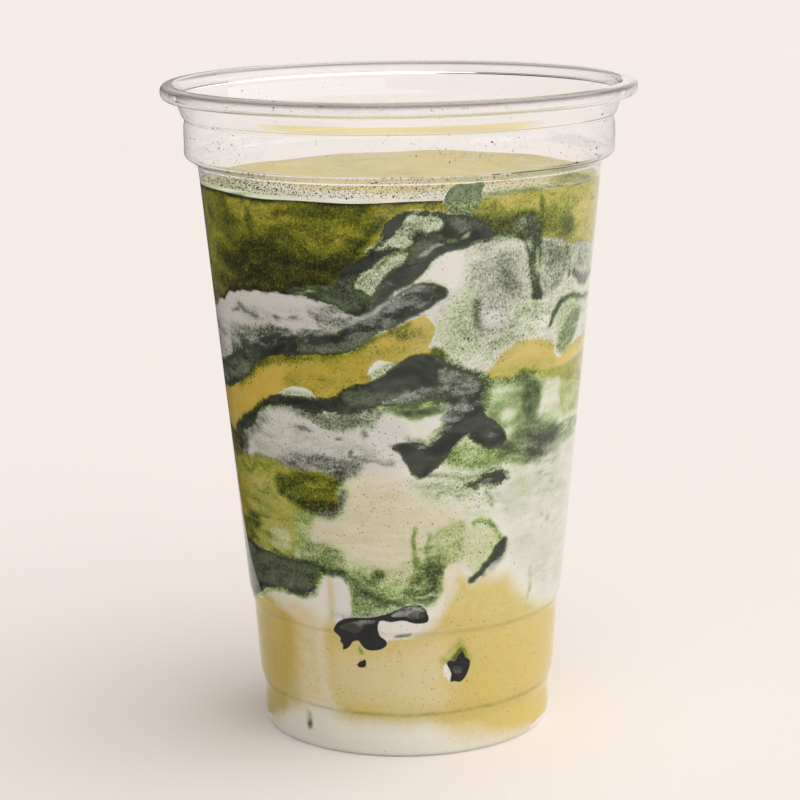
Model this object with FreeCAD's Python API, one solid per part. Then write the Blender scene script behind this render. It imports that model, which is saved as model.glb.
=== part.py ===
"""A marbled smoothie in a clear takeaway cup, modelled in millimetres.

The cup is one thin wall of clear plastic: a raised base, a foot, a tapered side
with two shallow steps, a stacking shoulder, a collar for the lid and a rolled
rim. The drink fills the inside of that wall up to an uneven, frothy surface.

+Z is up, and the origin is the centre of the circle that the foot rests on.
The wall and the space inside it are round about Z, so each is a flat section in
the XZ plane that is turned once about that axis.
"""

import FreeCAD
import Part

import math
import os

# The cup's main sizes.
RIM_DIAMETER = 98.0          # across the rolled rim, the standard lid size
CUP_HEIGHT = 136.0           # table to the top of the rim
FOOT_DIAMETER = 61.0         # across the foot at its widest
WALL = 0.4                   # plastic thickness, the same all over

# The raised base inside the foot.
BASE_RAISE = 2.6             # how far the middle of the base stands off the table
BASE_STEP_RAISE = 1.5        # height of the step round the raised middle
BASE_MIDDLE_DIAMETER = 34.0
BASE_STEP_DIAMETER = 49.0
FOOT_RING_WIDTH = 2.2        # flat ring that the cup stands on
FOOT_ROUND = 0.9             # radius where the foot meets the table

# The side, from the foot up. Heights are above the table.
FOOT_WIDEST_HEIGHT = 3.2
FOOT_NECK_HEIGHT = 7.2       # narrowest place, where the foot meets the lower step
FOOT_NECK_INSET = 0.3        # how far the neck lies inside the foot's widest circle
LOWER_STEP_HEIGHT = 11.6     # top of the step over the foot
LOWER_STEP_DEPTH = 1.2       # how far that step stands out from the neck
LOWER_BAND_TOP = 25.8        # the plain band between the two steps
LOWER_BAND_SPREAD = 0.95     # how much its radius grows over its height
UPPER_STEP_HEIGHT = 30.0
UPPER_STEP_DEPTH = 1.0

# The shoulder, the collar and the rim, measured down from the top of the cup.
SHOULDER_DROP = 16.3         # down to the top of the side, where the shoulder starts
SHOULDER_DEPTH = 2.7         # how far the shoulder stands out from the side
COLLAR_FOOT_DROP = 14.6      # down to the foot of the collar
COLLAR_INSET = 4.6           # rim's outside in to the collar's outside
LID_GROOVE_DROP = 7.3        # small groove that a lid snaps into
LID_GROOVE_DEPTH = 0.3
LID_GROOVE_SLOPE = 1.3       # height over which the collar runs down into the groove
LID_GROOVE_STEP = 0.8        # height of the steeper side, over the groove
LIP_DROP = 3.8               # down to the top of the lip, where the roll starts
LIP_SPREAD = 1.25            # how far the lip leans out from the collar
ROLL_WIDTH = 3.4             # the rolled rim's cross-section
ROLL_HEIGHT = 3.1
ROLL_OPENING = 0.7           # how far the roll's end stays from the roll's inner side

# The soft bends of the wall's middle line.
STEP_ROUND = 1.0             # along the side and the base
SHOULDER_ROUND = 0.8
GROOVE_ROUND = 0.5

# The drink.
DRINK_LEVEL_DROP = 20.2      # top of the cup down to the drink's mean level
FROTH_SWELL = 0.5            # the froth stands this much higher in the middle than at the wall
FROTH_WAVES = [              # each low wave's height, length and direction in degrees
    (0.26, 31.0, 20.0),
    (0.20, 23.0, 95.0),
    (0.15, 17.0, 150.0),
]
FROTH_GRID_STEP = 4.0        # spacing of the points that the frothy surface goes through

RIM_RADIUS = RIM_DIAMETER / 2
FOOT_RADIUS = FOOT_DIAMETER / 2
HALF_WALL = WALL / 2


def wall_corners():
    """The corners of the wall's middle line, from the axis out and up.

    Each is a radius, a height and the radius of its bend.
    """
    foot = FOOT_RADIUS - HALF_WALL
    neck = foot - FOOT_NECK_INSET
    lower = neck + LOWER_STEP_DEPTH
    lower_top = lower + LOWER_BAND_SPREAD
    side = lower_top + UPPER_STEP_DEPTH
    collar = RIM_RADIUS - COLLAR_INSET - HALF_WALL
    side_top = collar - SHOULDER_DEPTH
    lip = collar + LIP_SPREAD
    groove = CUP_HEIGHT - LID_GROOVE_DROP
    roll_out = RIM_RADIUS - HALF_WALL
    roll_in = RIM_RADIUS - ROLL_WIDTH + HALF_WALL
    roll_top = CUP_HEIGHT - HALF_WALL
    roll_foot = CUP_HEIGHT - ROLL_HEIGHT + HALF_WALL
    roll_round = min(ROLL_WIDTH, ROLL_HEIGHT) / 2 - WALL
    base_step = BASE_STEP_DIAMETER / 2
    base_middle = BASE_MIDDLE_DIAMETER / 2
    slope = BASE_RAISE - BASE_STEP_RAISE
    return [
        (0.0, BASE_RAISE + HALF_WALL, 0.0),
        (base_middle, BASE_RAISE + HALF_WALL, STEP_ROUND),
        (base_middle + slope, BASE_STEP_RAISE + HALF_WALL, STEP_ROUND),
        (base_step, BASE_STEP_RAISE + HALF_WALL, STEP_ROUND),
        (foot - FOOT_ROUND - FOOT_RING_WIDTH, HALF_WALL, STEP_ROUND),
        (foot - HALF_WALL, HALF_WALL, FOOT_ROUND),
        (foot, FOOT_WIDEST_HEIGHT, STEP_ROUND),
        (neck, FOOT_NECK_HEIGHT, STEP_ROUND),
        (lower, LOWER_STEP_HEIGHT, STEP_ROUND),
        (lower_top, LOWER_BAND_TOP, STEP_ROUND),
        (side, UPPER_STEP_HEIGHT, STEP_ROUND),
        (side_top, CUP_HEIGHT - SHOULDER_DROP, SHOULDER_ROUND),
        (collar, CUP_HEIGHT - COLLAR_FOOT_DROP, SHOULDER_ROUND),
        (collar, groove - LID_GROOVE_SLOPE, STEP_ROUND),
        (collar - LID_GROOVE_DEPTH, groove, GROOVE_ROUND),
        (collar + LID_GROOVE_DEPTH, groove + LID_GROOVE_STEP, GROOVE_ROUND),
        (lip, CUP_HEIGHT - LIP_DROP, STEP_ROUND),
        (roll_in, roll_top, roll_round),
        (roll_out, roll_top, roll_round),
        (roll_out, roll_foot, roll_round),
        (roll_in + ROLL_OPENING, roll_foot, 0.0),
    ]


def edge_normal(a, b):
    """The unit normal on the left of the edge from a to b."""
    along_r, along_z = b[0] - a[0], b[1] - a[1]
    length = math.hypot(along_r, along_z)
    return (-along_z / length, along_r / length)


def offset_corners(corners, distance):
    """The corners moved to the left by distance.

    Each edge stays parallel to itself, and each bend keeps its centre.
    """
    normals = [edge_normal(a, b) for a, b in zip(corners, corners[1:])]
    moved = []
    for index, (radius, height, bend) in enumerate(corners):
        before = normals[max(index - 1, 0)]
        after = normals[min(index, len(normals) - 1)]
        scale = distance / (1 + before[0] * after[0] + before[1] * after[1])
        turn = before[0] * after[1] - before[1] * after[0]
        if bend:
            bend = max(bend - math.copysign(distance, turn), HALF_WALL)
        moved.append((radius + (before[0] + after[0]) * scale,
                      height + (before[1] + after[1]) * scale,
                      bend))
    return moved


def point(radius, height):
    """A point of the section, in the XZ plane."""
    return FreeCAD.Vector(radius, 0, height)


def rounded_line(corners):
    """Edges along the corners, each corner with a bend radius replaced by its tangent arc."""
    edges = []
    start = point(*corners[0][:2])
    for before, corner, after in zip(corners, corners[1:], corners[2:]):
        here = point(*corner[:2])
        back = (point(*before[:2]) - here).normalize()
        ahead = (point(*after[:2]) - here).normalize()
        half_angle = back.getAngle(ahead) / 2
        reach = corner[2] / math.tan(half_angle)
        middle = (back + ahead).normalize()
        arc_middle = here + middle * (corner[2] / math.sin(half_angle) - corner[2])
        arc_start, arc_end = here + back * reach, here + ahead * reach
        edges.append(Part.LineSegment(start, arc_start).toShape())
        edges.append(Part.Arc(arc_start, arc_middle, arc_end).toShape())
        start = arc_end
    edges.append(Part.LineSegment(start, point(*corners[-1][:2])).toShape())
    return edges


def turned(edges):
    """The solid that the closed outline makes when it is turned once about Z."""
    outline = Part.Wire(Part.__sortEdges__(edges))
    return Part.Face(outline).revolve(FreeCAD.Vector(0, 0, 0), FreeCAD.Vector(0, 0, 1), 360)


def line(start, end):
    """A straight edge."""
    return Part.LineSegment(start, end).toShape()


def make_cup():
    """The clear cup: its middle line thickened by half a wall each way, and turned."""
    corners = wall_corners()
    outside = rounded_line(offset_corners(corners, -HALF_WALL))
    inside = rounded_line(offset_corners(corners, HALF_WALL))
    at_axis = line(outside[0].firstVertex().Point, inside[0].firstVertex().Point)
    at_lip = line(outside[-1].lastVertex().Point, inside[-1].lastVertex().Point)
    return turned(outside + inside + [at_axis, at_lip])


def make_cavity():
    """The space inside the wall, from the base up to the collar's foot."""
    collar_foot = CUP_HEIGHT - COLLAR_FOOT_DROP
    below_collar = [corner for corner in wall_corners() if corner[1] <= collar_foot]
    edges = rounded_line(offset_corners(below_collar, HALF_WALL))
    axis_foot, top = edges[0].firstVertex().Point, edges[-1].lastVertex().Point
    axis_top = point(0, top.z)
    return turned(edges + [line(top, axis_top), line(axis_top, axis_foot)])


def froth_height(x, y):
    """The height of the drink's surface over a point of the table.

    It is the mean level, plus a swell that falls as the square of the distance
    from the axis, plus a few straight sine waves that cross each other.
    """
    height = CUP_HEIGHT - DRINK_LEVEL_DROP
    height += FROTH_SWELL * (0.5 - (x * x + y * y) / RIM_RADIUS ** 2)
    for wave_height, length, direction in FROTH_WAVES:
        heading = math.radians(direction)
        along = x * math.cos(heading) + y * math.sin(heading)
        height += wave_height * math.sin(2 * math.pi * along / length + heading)
    return height


def make_below_froth():
    """Everything under the drink's surface, out past the wall."""
    steps = math.ceil(RIM_RADIUS / FROTH_GRID_STEP)
    places = [index * FROTH_GRID_STEP for index in range(-steps, steps + 1)]
    grid = [[FreeCAD.Vector(x, y, froth_height(x, y)) for y in places] for x in places]
    surface = Part.BSplineSurface()
    surface.interpolate(grid)
    return surface.toShape().extrude(FreeCAD.Vector(0, 0, -CUP_HEIGHT))


def make_drink():
    """The drink: the space inside the wall, up to the frothy surface."""
    return make_cavity().common(make_below_froth()).Solids[0]


PIECES = {
    "cup": make_cup,
    "smoothie": make_drink,
}


def main():
    """Builds each piece and writes it to parts/NAME.step."""
    os.makedirs("parts", exist_ok=True)
    for name, make in PIECES.items():
        solid = make()
        solid.exportStep(f"parts/{name}.step")
        box = solid.BoundBox
        print(f"{name}: {len(solid.Solids)} solid, valid {solid.isValid()}, "
              f"{solid.Volume / 1000:.2f} ml, {box.XLength:.2f} x {box.YLength:.2f} x {box.ZLength:.2f} mm, "
              f"from z {box.ZMin:.2f} to {box.ZMax:.2f}")


main()
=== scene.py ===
"""Looks of a marbled smoothie in a clear takeaway cup.

Sizes that belong to the object are in millimetres, counted from the centre of
the circle that the foot rests on, with +Z up and -Y towards the front. MM turns
them into the metres of the shared frame. The drink's side is drawn on a chart:
an angle in degrees round the cup, 0 at the front and growing towards +X, and a
height in millimetres.
"""

import logging
import math
from collections.abc import Callable
from dataclasses import dataclass, field
from enum import Enum
from functools import partial

import bpy
import numpy as np
from mathutils import Matrix, Vector

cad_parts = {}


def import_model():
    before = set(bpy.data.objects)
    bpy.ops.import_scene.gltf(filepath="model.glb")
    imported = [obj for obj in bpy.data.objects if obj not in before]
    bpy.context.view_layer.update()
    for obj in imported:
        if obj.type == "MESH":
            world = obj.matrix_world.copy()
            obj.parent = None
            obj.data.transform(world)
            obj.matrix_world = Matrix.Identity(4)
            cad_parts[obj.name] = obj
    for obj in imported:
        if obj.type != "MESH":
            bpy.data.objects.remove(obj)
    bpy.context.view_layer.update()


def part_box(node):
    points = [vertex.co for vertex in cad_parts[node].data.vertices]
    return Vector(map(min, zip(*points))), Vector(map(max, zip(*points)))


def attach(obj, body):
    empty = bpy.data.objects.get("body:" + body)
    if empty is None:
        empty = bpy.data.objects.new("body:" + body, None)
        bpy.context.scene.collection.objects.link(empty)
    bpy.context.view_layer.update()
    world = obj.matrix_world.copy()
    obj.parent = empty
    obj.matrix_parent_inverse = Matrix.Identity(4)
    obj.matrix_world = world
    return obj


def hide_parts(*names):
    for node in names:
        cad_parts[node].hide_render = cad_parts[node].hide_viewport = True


MM = 0.001
LOG = logging.getLogger("smoothie")

Colour = tuple[float, float, float]


# ---- Noise and small helpers ----

OCTAVE_SHIFT = 17.3     # cells that each further octave is moved by, so that their lattices don't line up


def lattice_random(cells: np.ndarray, seed: int) -> np.ndarray:
    """Gives each lattice cell a fixed random value, by multiplying with large primes and folding the bits.

    Args:
        cells: integer cell coordinates, shape (..., 3).
        seed: picks one of many independent patterns.

    Returns:
        Values from -1 to 1, shape (...).
    """
    mixed = (cells[..., 0] * 374761393 + cells[..., 1] * 668265263
             + cells[..., 2] * 1440662683 + seed * 982451653)
    mixed = mixed.astype(np.int64) & 0xFFFFFFFF
    mixed = ((mixed ^ (mixed >> 13)) * 1274126177) & 0xFFFFFFFF
    mixed = ((mixed ^ (mixed >> 16)) * 668265263) & 0xFFFFFFFF
    return (mixed ^ (mixed >> 15)) / 0xFFFFFFFF * 2 - 1


def noise(points: np.ndarray, size: float | tuple[float, float, float], seed: int, octaves: int = 1) -> np.ndarray:
    """Smooth value noise.

    Each octave blends the random values at the eight corners of the cell a
    point lies in, by the quintic 6t^5 - 15t^4 + 10t^3 of its place in the cell.
    Every further octave has half the size and half the height.

    Args:
        points: places, shape (n, 3), in millimetres.
        size: cell size in millimetres, one for all axes or one for each.
        seed: picks one of many independent patterns.
        octaves: how many octaves are added up.

    Returns:
        Values from about -1 to 1, shape (n,).
    """
    total, height = np.zeros(len(points)), 1.0
    scaled = points / np.asarray(size, dtype=float)
    for octave in range(octaves):
        cell = np.floor(scaled).astype(np.int64)
        place = scaled - cell
        blend = place ** 3 * (place * (place * 6 - 15) + 10)
        value = np.zeros(len(points))
        for corner in np.ndindex(2, 2, 2):
            weight = np.prod(np.where(corner, blend, 1 - blend), axis=1)
            value += weight * lattice_random(cell + corner, seed + octave)
        total += value * height
        scaled = scaled * 2 + OCTAVE_SHIFT
        height /= 2
    return total


def smoothstep(low: float, high: float, value: np.ndarray) -> np.ndarray:
    """Rises from 0 at low to 1 at high along 3t^2 - 2t^3."""
    t = np.clip((value - low) / (high - low), 0, 1)
    return t * t * (3 - 2 * t)


def through_points(points: np.ndarray, steps: int, closed: bool) -> np.ndarray:
    """A Catmull-Rom curve: each span is the cubic through its two ends with slopes from their neighbours.

    Args:
        points: the points the curve goes through, shape (n, k).
        steps: samples for each span.
        closed: whether the last point joins the first.

    Returns:
        Samples along the curve, shape (m, k).
    """
    if closed:
        before, start = np.roll(points, 1, axis=0), points
        end, after = np.roll(points, -1, axis=0), np.roll(points, -2, axis=0)
    else:
        padded = np.vstack([2 * points[0] - points[1], points, 2 * points[-1] - points[-2]])
        before, start, end, after = padded[:-3], padded[1:-2], padded[2:-1], padded[3:]
    t = (np.arange(steps) / steps)[None, :, None]
    before, start, end, after = (row[:, None, :] for row in (before, start, end, after))
    curve = 0.5 * (2 * start + (end - before) * t
                   + (2 * before - 5 * start + 4 * end - after) * t ** 2
                   + (3 * start - before - 3 * end + after) * t ** 3)
    curve = curve.reshape(-1, points.shape[1])
    return curve if closed else np.vstack([curve, points[-1]])


def around(angle: np.ndarray, radius: np.ndarray, height: np.ndarray) -> np.ndarray:
    """Places from degrees round the cup, a radius and a height, all in mm but the first."""
    turn = np.radians(angle)
    return np.stack(np.broadcast_arrays(radius * np.sin(turn), -radius * np.cos(turn), height), axis=-1)


def degrees_round(places: np.ndarray) -> np.ndarray:
    """Each place's degrees round the cup, from -180 to 180."""
    return np.degrees(np.arctan2(places[:, 0], -places[:, 1]))


def new_piece(name: str, vertices: np.ndarray, faces: list[np.ndarray], smooth: bool = True) -> bpy.types.Object:
    """Makes a mesh object from arrays.

    Args:
        name: the piece's name.
        vertices: places in metres, shape (n, 3).
        faces: arrays of vertex numbers, one array for each count of corners.
        smooth: whether the faces are shaded smooth.

    Returns:
        The object, linked into the scene.
    """
    corners = np.concatenate([part.ravel() for part in faces])
    counts = np.concatenate([np.full(len(part), part.shape[1]) for part in faces])
    mesh = bpy.data.meshes.new(name)
    mesh.vertices.add(len(vertices))
    mesh.vertices.foreach_set("co", vertices.astype(np.float32).ravel())
    mesh.loops.add(len(corners))
    mesh.loops.foreach_set("vertex_index", corners.astype(np.int32))
    mesh.polygons.add(len(counts))
    mesh.polygons.foreach_set("loop_start", (np.cumsum(counts) - counts).astype(np.int32))
    mesh.polygons.foreach_set("use_smooth", np.full(len(counts), smooth))
    mesh.update(calc_edges=True)
    piece = bpy.data.objects.new(name, mesh)
    bpy.context.scene.collection.objects.link(piece)
    return piece


def carry(piece: bpy.types.Object, name: str, values: np.ndarray) -> None:
    """Gives each vertex of a piece a number."""
    layer = piece.data.attributes.new(name, "FLOAT", "POINT")
    layer.data.foreach_set("value", values.astype(np.float32))


def shell_faces(rings: int, columns: int) -> list[np.ndarray]:
    """Faces of a closed shell: a pole, rings of columns vertices each, and a second pole.

    Ring r, column c is vertex 1 + r * columns + c; the first pole is vertex 0
    and the second is the last. Rings run outwards from the first pole, and
    columns run anticlockwise seen from above, so that faces point outwards
    when the first pole is the lower one.
    """
    ring = np.arange(rings - 1)[:, None] * columns + 1
    here = np.arange(columns)[None, :]
    ahead = (here + 1) % columns
    quads = np.stack([ring + here, ring + ahead, ring + columns + ahead, ring + columns + here], axis=-1)
    first = np.stack([np.zeros(columns, int), 1 + ahead[0], 1 + here[0]], axis=-1)
    top = 1 + (rings - 1) * columns
    last = np.stack([np.full(columns, rings * columns + 1), top + here[0], top + ahead[0]], axis=-1)
    return [quads.reshape(-1, 4), first, last]


def with_poles(rings: np.ndarray, first: float, last: float) -> np.ndarray:
    """The vertices of such a shell, with its poles on the axis at two heights."""
    return np.vstack([[0, 0, first], rings.reshape(-1, 3), [0, 0, last]])


# ---- Shader building ----

NOISE_SPREAD = 2.6      # Blender's noise stays near its middle, and this stretches it to about -1 to 1


class Graph:
    """Adds nodes to a material, a world or a node group, one short call each."""

    def __init__(self, tree: bpy.types.NodeTree) -> None:
        """Works on an existing node tree."""
        self.tree = tree

    def node(self, kind: str, inputs: dict | None = None, **settings: object) -> bpy.types.Node:
        """Adds a node.

        Args:
            kind: the node's type, such as "ShaderNodeMix".
            inputs: socket name or number to a value or an output socket.
            settings: the node's own properties.

        Returns:
            The new node.
        """
        made = self.tree.nodes.new(kind)
        for key, value in settings.items():
            setattr(made, key, value)
        for key, value in (inputs or {}).items():
            if isinstance(value, bpy.types.NodeSocket):
                self.tree.links.new(value, made.inputs[key])
            else:
                made.inputs[key].default_value = value
        return made

    def math(self, operation: str, *values: object, clamp: bool = False) -> bpy.types.NodeSocket:
        """Adds a Math node on numbers or sockets."""
        return self.node("ShaderNodeMath", dict(enumerate(values)), operation=operation, use_clamp=clamp).outputs[0]

    def times(self, first: object, second: object, clamp: bool = False) -> bpy.types.NodeSocket:
        """Multiplies two numbers or sockets."""
        return self.math("MULTIPLY", first, second, clamp=clamp)

    def scaled(self, value: object, scale: object, shift: object, clamp: bool = False) -> bpy.types.NodeSocket:
        """A value times a scale, plus a shift."""
        return self.math("MULTIPLY_ADD", value, scale, shift, clamp=clamp)

    def vector(self, operation: str, inputs: dict) -> bpy.types.NodeSocket:
        """Adds a Vector Math node."""
        return self.node("ShaderNodeVectorMath", inputs, operation=operation).outputs[0]

    def between(self, value: object, low: object, high: object,
                out_low: float = 0.0, out_high: float = 1.0) -> bpy.types.NodeSocket:
        """Maps low..high onto out_low..out_high with soft ends."""
        inputs = {"Value": value, "From Min": low, "From Max": high, "To Min": out_low, "To Max": out_high}
        return self.node("ShaderNodeMapRange", inputs, interpolation_type="SMOOTHSTEP").outputs[0]

    def mix(self, factor: object, first: object, second: object, blend: str = "MIX") -> bpy.types.NodeSocket:
        """Mixes two colours."""
        first, second = (tuple(c) + (1.0,) if isinstance(c, tuple) and len(c) == 3 else c for c in (first, second))
        made = self.node("ShaderNodeMix", {0: factor, 6: first, 7: second}, data_type="RGBA", blend_type=blend)
        return made.outputs[2]

    def attribute(self, name: str) -> bpy.types.NodeSocket:
        """Reads a number that each vertex of the piece carries."""
        return self.node("ShaderNodeAttribute", attribute_name=name).outputs["Fac"]

    def place(self) -> bpy.types.NodeSocket:
        """The place on the object, in metres."""
        return self.node("ShaderNodeTexCoord").outputs["Object"]

    def grain(self, place: object, size: float, detail: float = 2.0, rough: float = 0.5,
              squash: Vector = Vector((1, 1, 1))) -> bpy.types.NodeSocket:
        """Noise from -1 to 1, with features of about size millimetres."""
        stretched = self.node("ShaderNodeMapping", {"Vector": place, "Scale": squash}).outputs[0]
        inputs = {"Vector": stretched, "Scale": 1 / (size * MM), "Detail": detail, "Roughness": rough}
        value = self.node("ShaderNodeTexNoise", inputs).outputs["Fac"]
        return self.scaled(value, NOISE_SPREAD, -NOISE_SPREAD / 2)

    def stirred(self, place: object, noise_scale: float, reach: float) -> bpy.types.NodeSocket:
        """The place moved by a soft noise, by up to half of reach metres each way.

        Args:
            place: the place to start from.
            noise_scale: the noise's features in each metre.
            reach: how far the noise's whole range moves a place, in metres.

        Returns:
            The moved place.
        """
        drift = self.node("ShaderNodeTexNoise", {"Vector": place, "Scale": noise_scale, "Detail": 1.0})
        drift = self.vector("SUBTRACT", {0: drift.outputs["Color"], 1: (0.5, 0.5, 0.5)})
        return self.vector("ADD", {0: place, 1: self.vector("SCALE", {0: drift, "Scale": reach})})

    def group(self, tree: bpy.types.NodeTree, inputs: dict) -> bpy.types.NodeSocket:
        """Places a node group and returns its one output."""
        return self.node("ShaderNodeGroup", inputs, node_tree=tree).outputs[0]

    def skin(self, colour: object, roughness: object, specular: float, **more: object) -> None:
        """Ends a material with one Principled surface, whose further inputs are named in more."""
        inputs = {"Base Color": colour, "Roughness": roughness, "Specular IOR Level": specular, **more}
        shader = self.node("ShaderNodeBsdfPrincipled", inputs)
        self.node("ShaderNodeOutputMaterial", {"Surface": shader.outputs[0]})


def new_material(name: str) -> tuple[bpy.types.Material, Graph]:
    """An empty material and the graph that fills it."""
    made = bpy.data.materials.new(name)
    made.use_nodes = True
    made.node_tree.nodes.clear()
    return made, Graph(made.node_tree)


def new_group(name: str, inputs: dict[str, tuple[str, float]]) -> tuple[bpy.types.NodeTree, Graph, dict]:
    """Starts a shader node group that puts out a mask.

    Args:
        name: the group's name.
        inputs: input name to its socket type and default.

    Returns:
        The group, a graph to fill it with, and its input sockets by name.
    """
    tree = bpy.data.node_groups.new(name, "ShaderNodeTree")
    for key, (kind, default) in inputs.items():
        socket = tree.interface.new_socket(key, in_out="INPUT", socket_type=kind)
        if kind == "NodeSocketFloat":
            socket.default_value = default
    tree.interface.new_socket("Mask", in_out="OUTPUT", socket_type="NodeSocketFloat")
    graph = Graph(tree)
    entry = graph.node("NodeGroupInput")
    return tree, graph, {key: entry.outputs[key] for key in inputs}


def powder_group() -> bpy.types.NodeTree:
    """Specks of powder: round dots of random size in the cells of a 3-D scatter.

    A cell holds a dot where its random number is under Density. The dot covers
    the places nearer to the cell's point than a share of the cell's size.
    """
    uneven_scale, uneven = 2600.0, 0.35 * MM    # the dots' outlines: waves in a metre, and how far they reach
    least_reach, reach_range, soft = 0.14, 0.26, 0.05
    tree, graph, given = new_group("powder specks", {
        "Place": ("NodeSocketVector", 0.0),
        "Density": ("NodeSocketFloat", 0.5),
        "Size mm": ("NodeSocketFloat", 0.8),
    })
    moved = graph.stirred(given["Place"], uneven_scale, uneven)
    scale = graph.math("DIVIDE", 1 / MM, given["Size mm"])
    cells = graph.node("ShaderNodeTexVoronoi", {"Vector": moved, "Scale": scale, "Randomness": 1.0})
    chance = graph.node("ShaderNodeSeparateColor", {0: cells.outputs["Color"]})
    present = graph.math("LESS_THAN", chance.outputs[0], given["Density"])
    reach = graph.scaled(chance.outputs[1], reach_range, least_reach)
    outer, inner = graph.math("ADD", reach, soft), graph.math("SUBTRACT", reach, soft)
    dot = graph.between(cells.outputs["Distance"], outer, inner)
    graph.node("NodeGroupOutput", {"Mask": graph.times(dot, present)})
    return tree


def edge_group() -> bpy.types.NodeTree:
    """A grainy edge: a distance in millimetres, roughened by noise of two sizes, turned into a mask.

    The mask is 1 where the distance plus the noise is above zero.
    """
    tree, graph, given = new_group("grainy edge", {
        "Place": ("NodeSocketVector", 0.0),
        "Distance mm": ("NodeSocketFloat", 0.0),
        "Grain mm": ("NodeSocketFloat", 0.4),
        "Softness mm": ("NodeSocketFloat", 0.12),
    })
    waves = graph.times(graph.grain(given["Place"], size=1.8, detail=3.0), 0.7)
    crumbs = graph.times(graph.grain(given["Place"], size=0.42, detail=1.0), 0.75)
    rough = graph.times(graph.math("ADD", waves, crumbs), given["Grain mm"])
    edge = graph.math("ADD", given["Distance mm"], rough)
    low = graph.times(given["Softness mm"], -1.0)
    graph.node("NodeGroupOutput", {"Mask": graph.between(edge, low, given["Softness mm"])})
    return tree


# ---- The cup's wall ----

def bend_corners(corners: np.ndarray, steps: int = 6) -> np.ndarray:
    """Replaces each inner corner of a line by its tangent arc.

    The arc starts and ends radius / tan(half the corner's angle) from the
    corner, and its points turn evenly from one end to the other.

    Args:
        corners: rows of (radius, height, bend radius), in millimetres.
        steps: spans in each arc.

    Returns:
        Rows of (radius, height).
    """
    line = [corners[0, :2]]
    for before, corner, after in zip(corners[:-2], corners[1:-1], corners[2:]):
        back = (before[:2] - corner[:2]) / np.linalg.norm(before[:2] - corner[:2])
        ahead = (after[:2] - corner[:2]) / np.linalg.norm(after[:2] - corner[:2])
        half = math.acos(float(np.clip(back @ ahead, -1, 1))) / 2
        reach = corner[2] / math.tan(half)
        turn = (math.pi - 2 * half) / 2
        angle = np.linspace(-turn, turn, steps + 1)[:, None]
        inwards = (back + ahead) / np.linalg.norm(back + ahead)
        sideways = (ahead - back) / np.linalg.norm(ahead - back)
        centre = corner[:2] + inwards * math.hypot(reach, corner[2])
        line.extend(centre - corner[2] * np.cos(angle) * inwards + corner[2] * np.sin(angle) * sideways)
    line.append(corners[-1, :2])
    return np.array(line)


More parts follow.
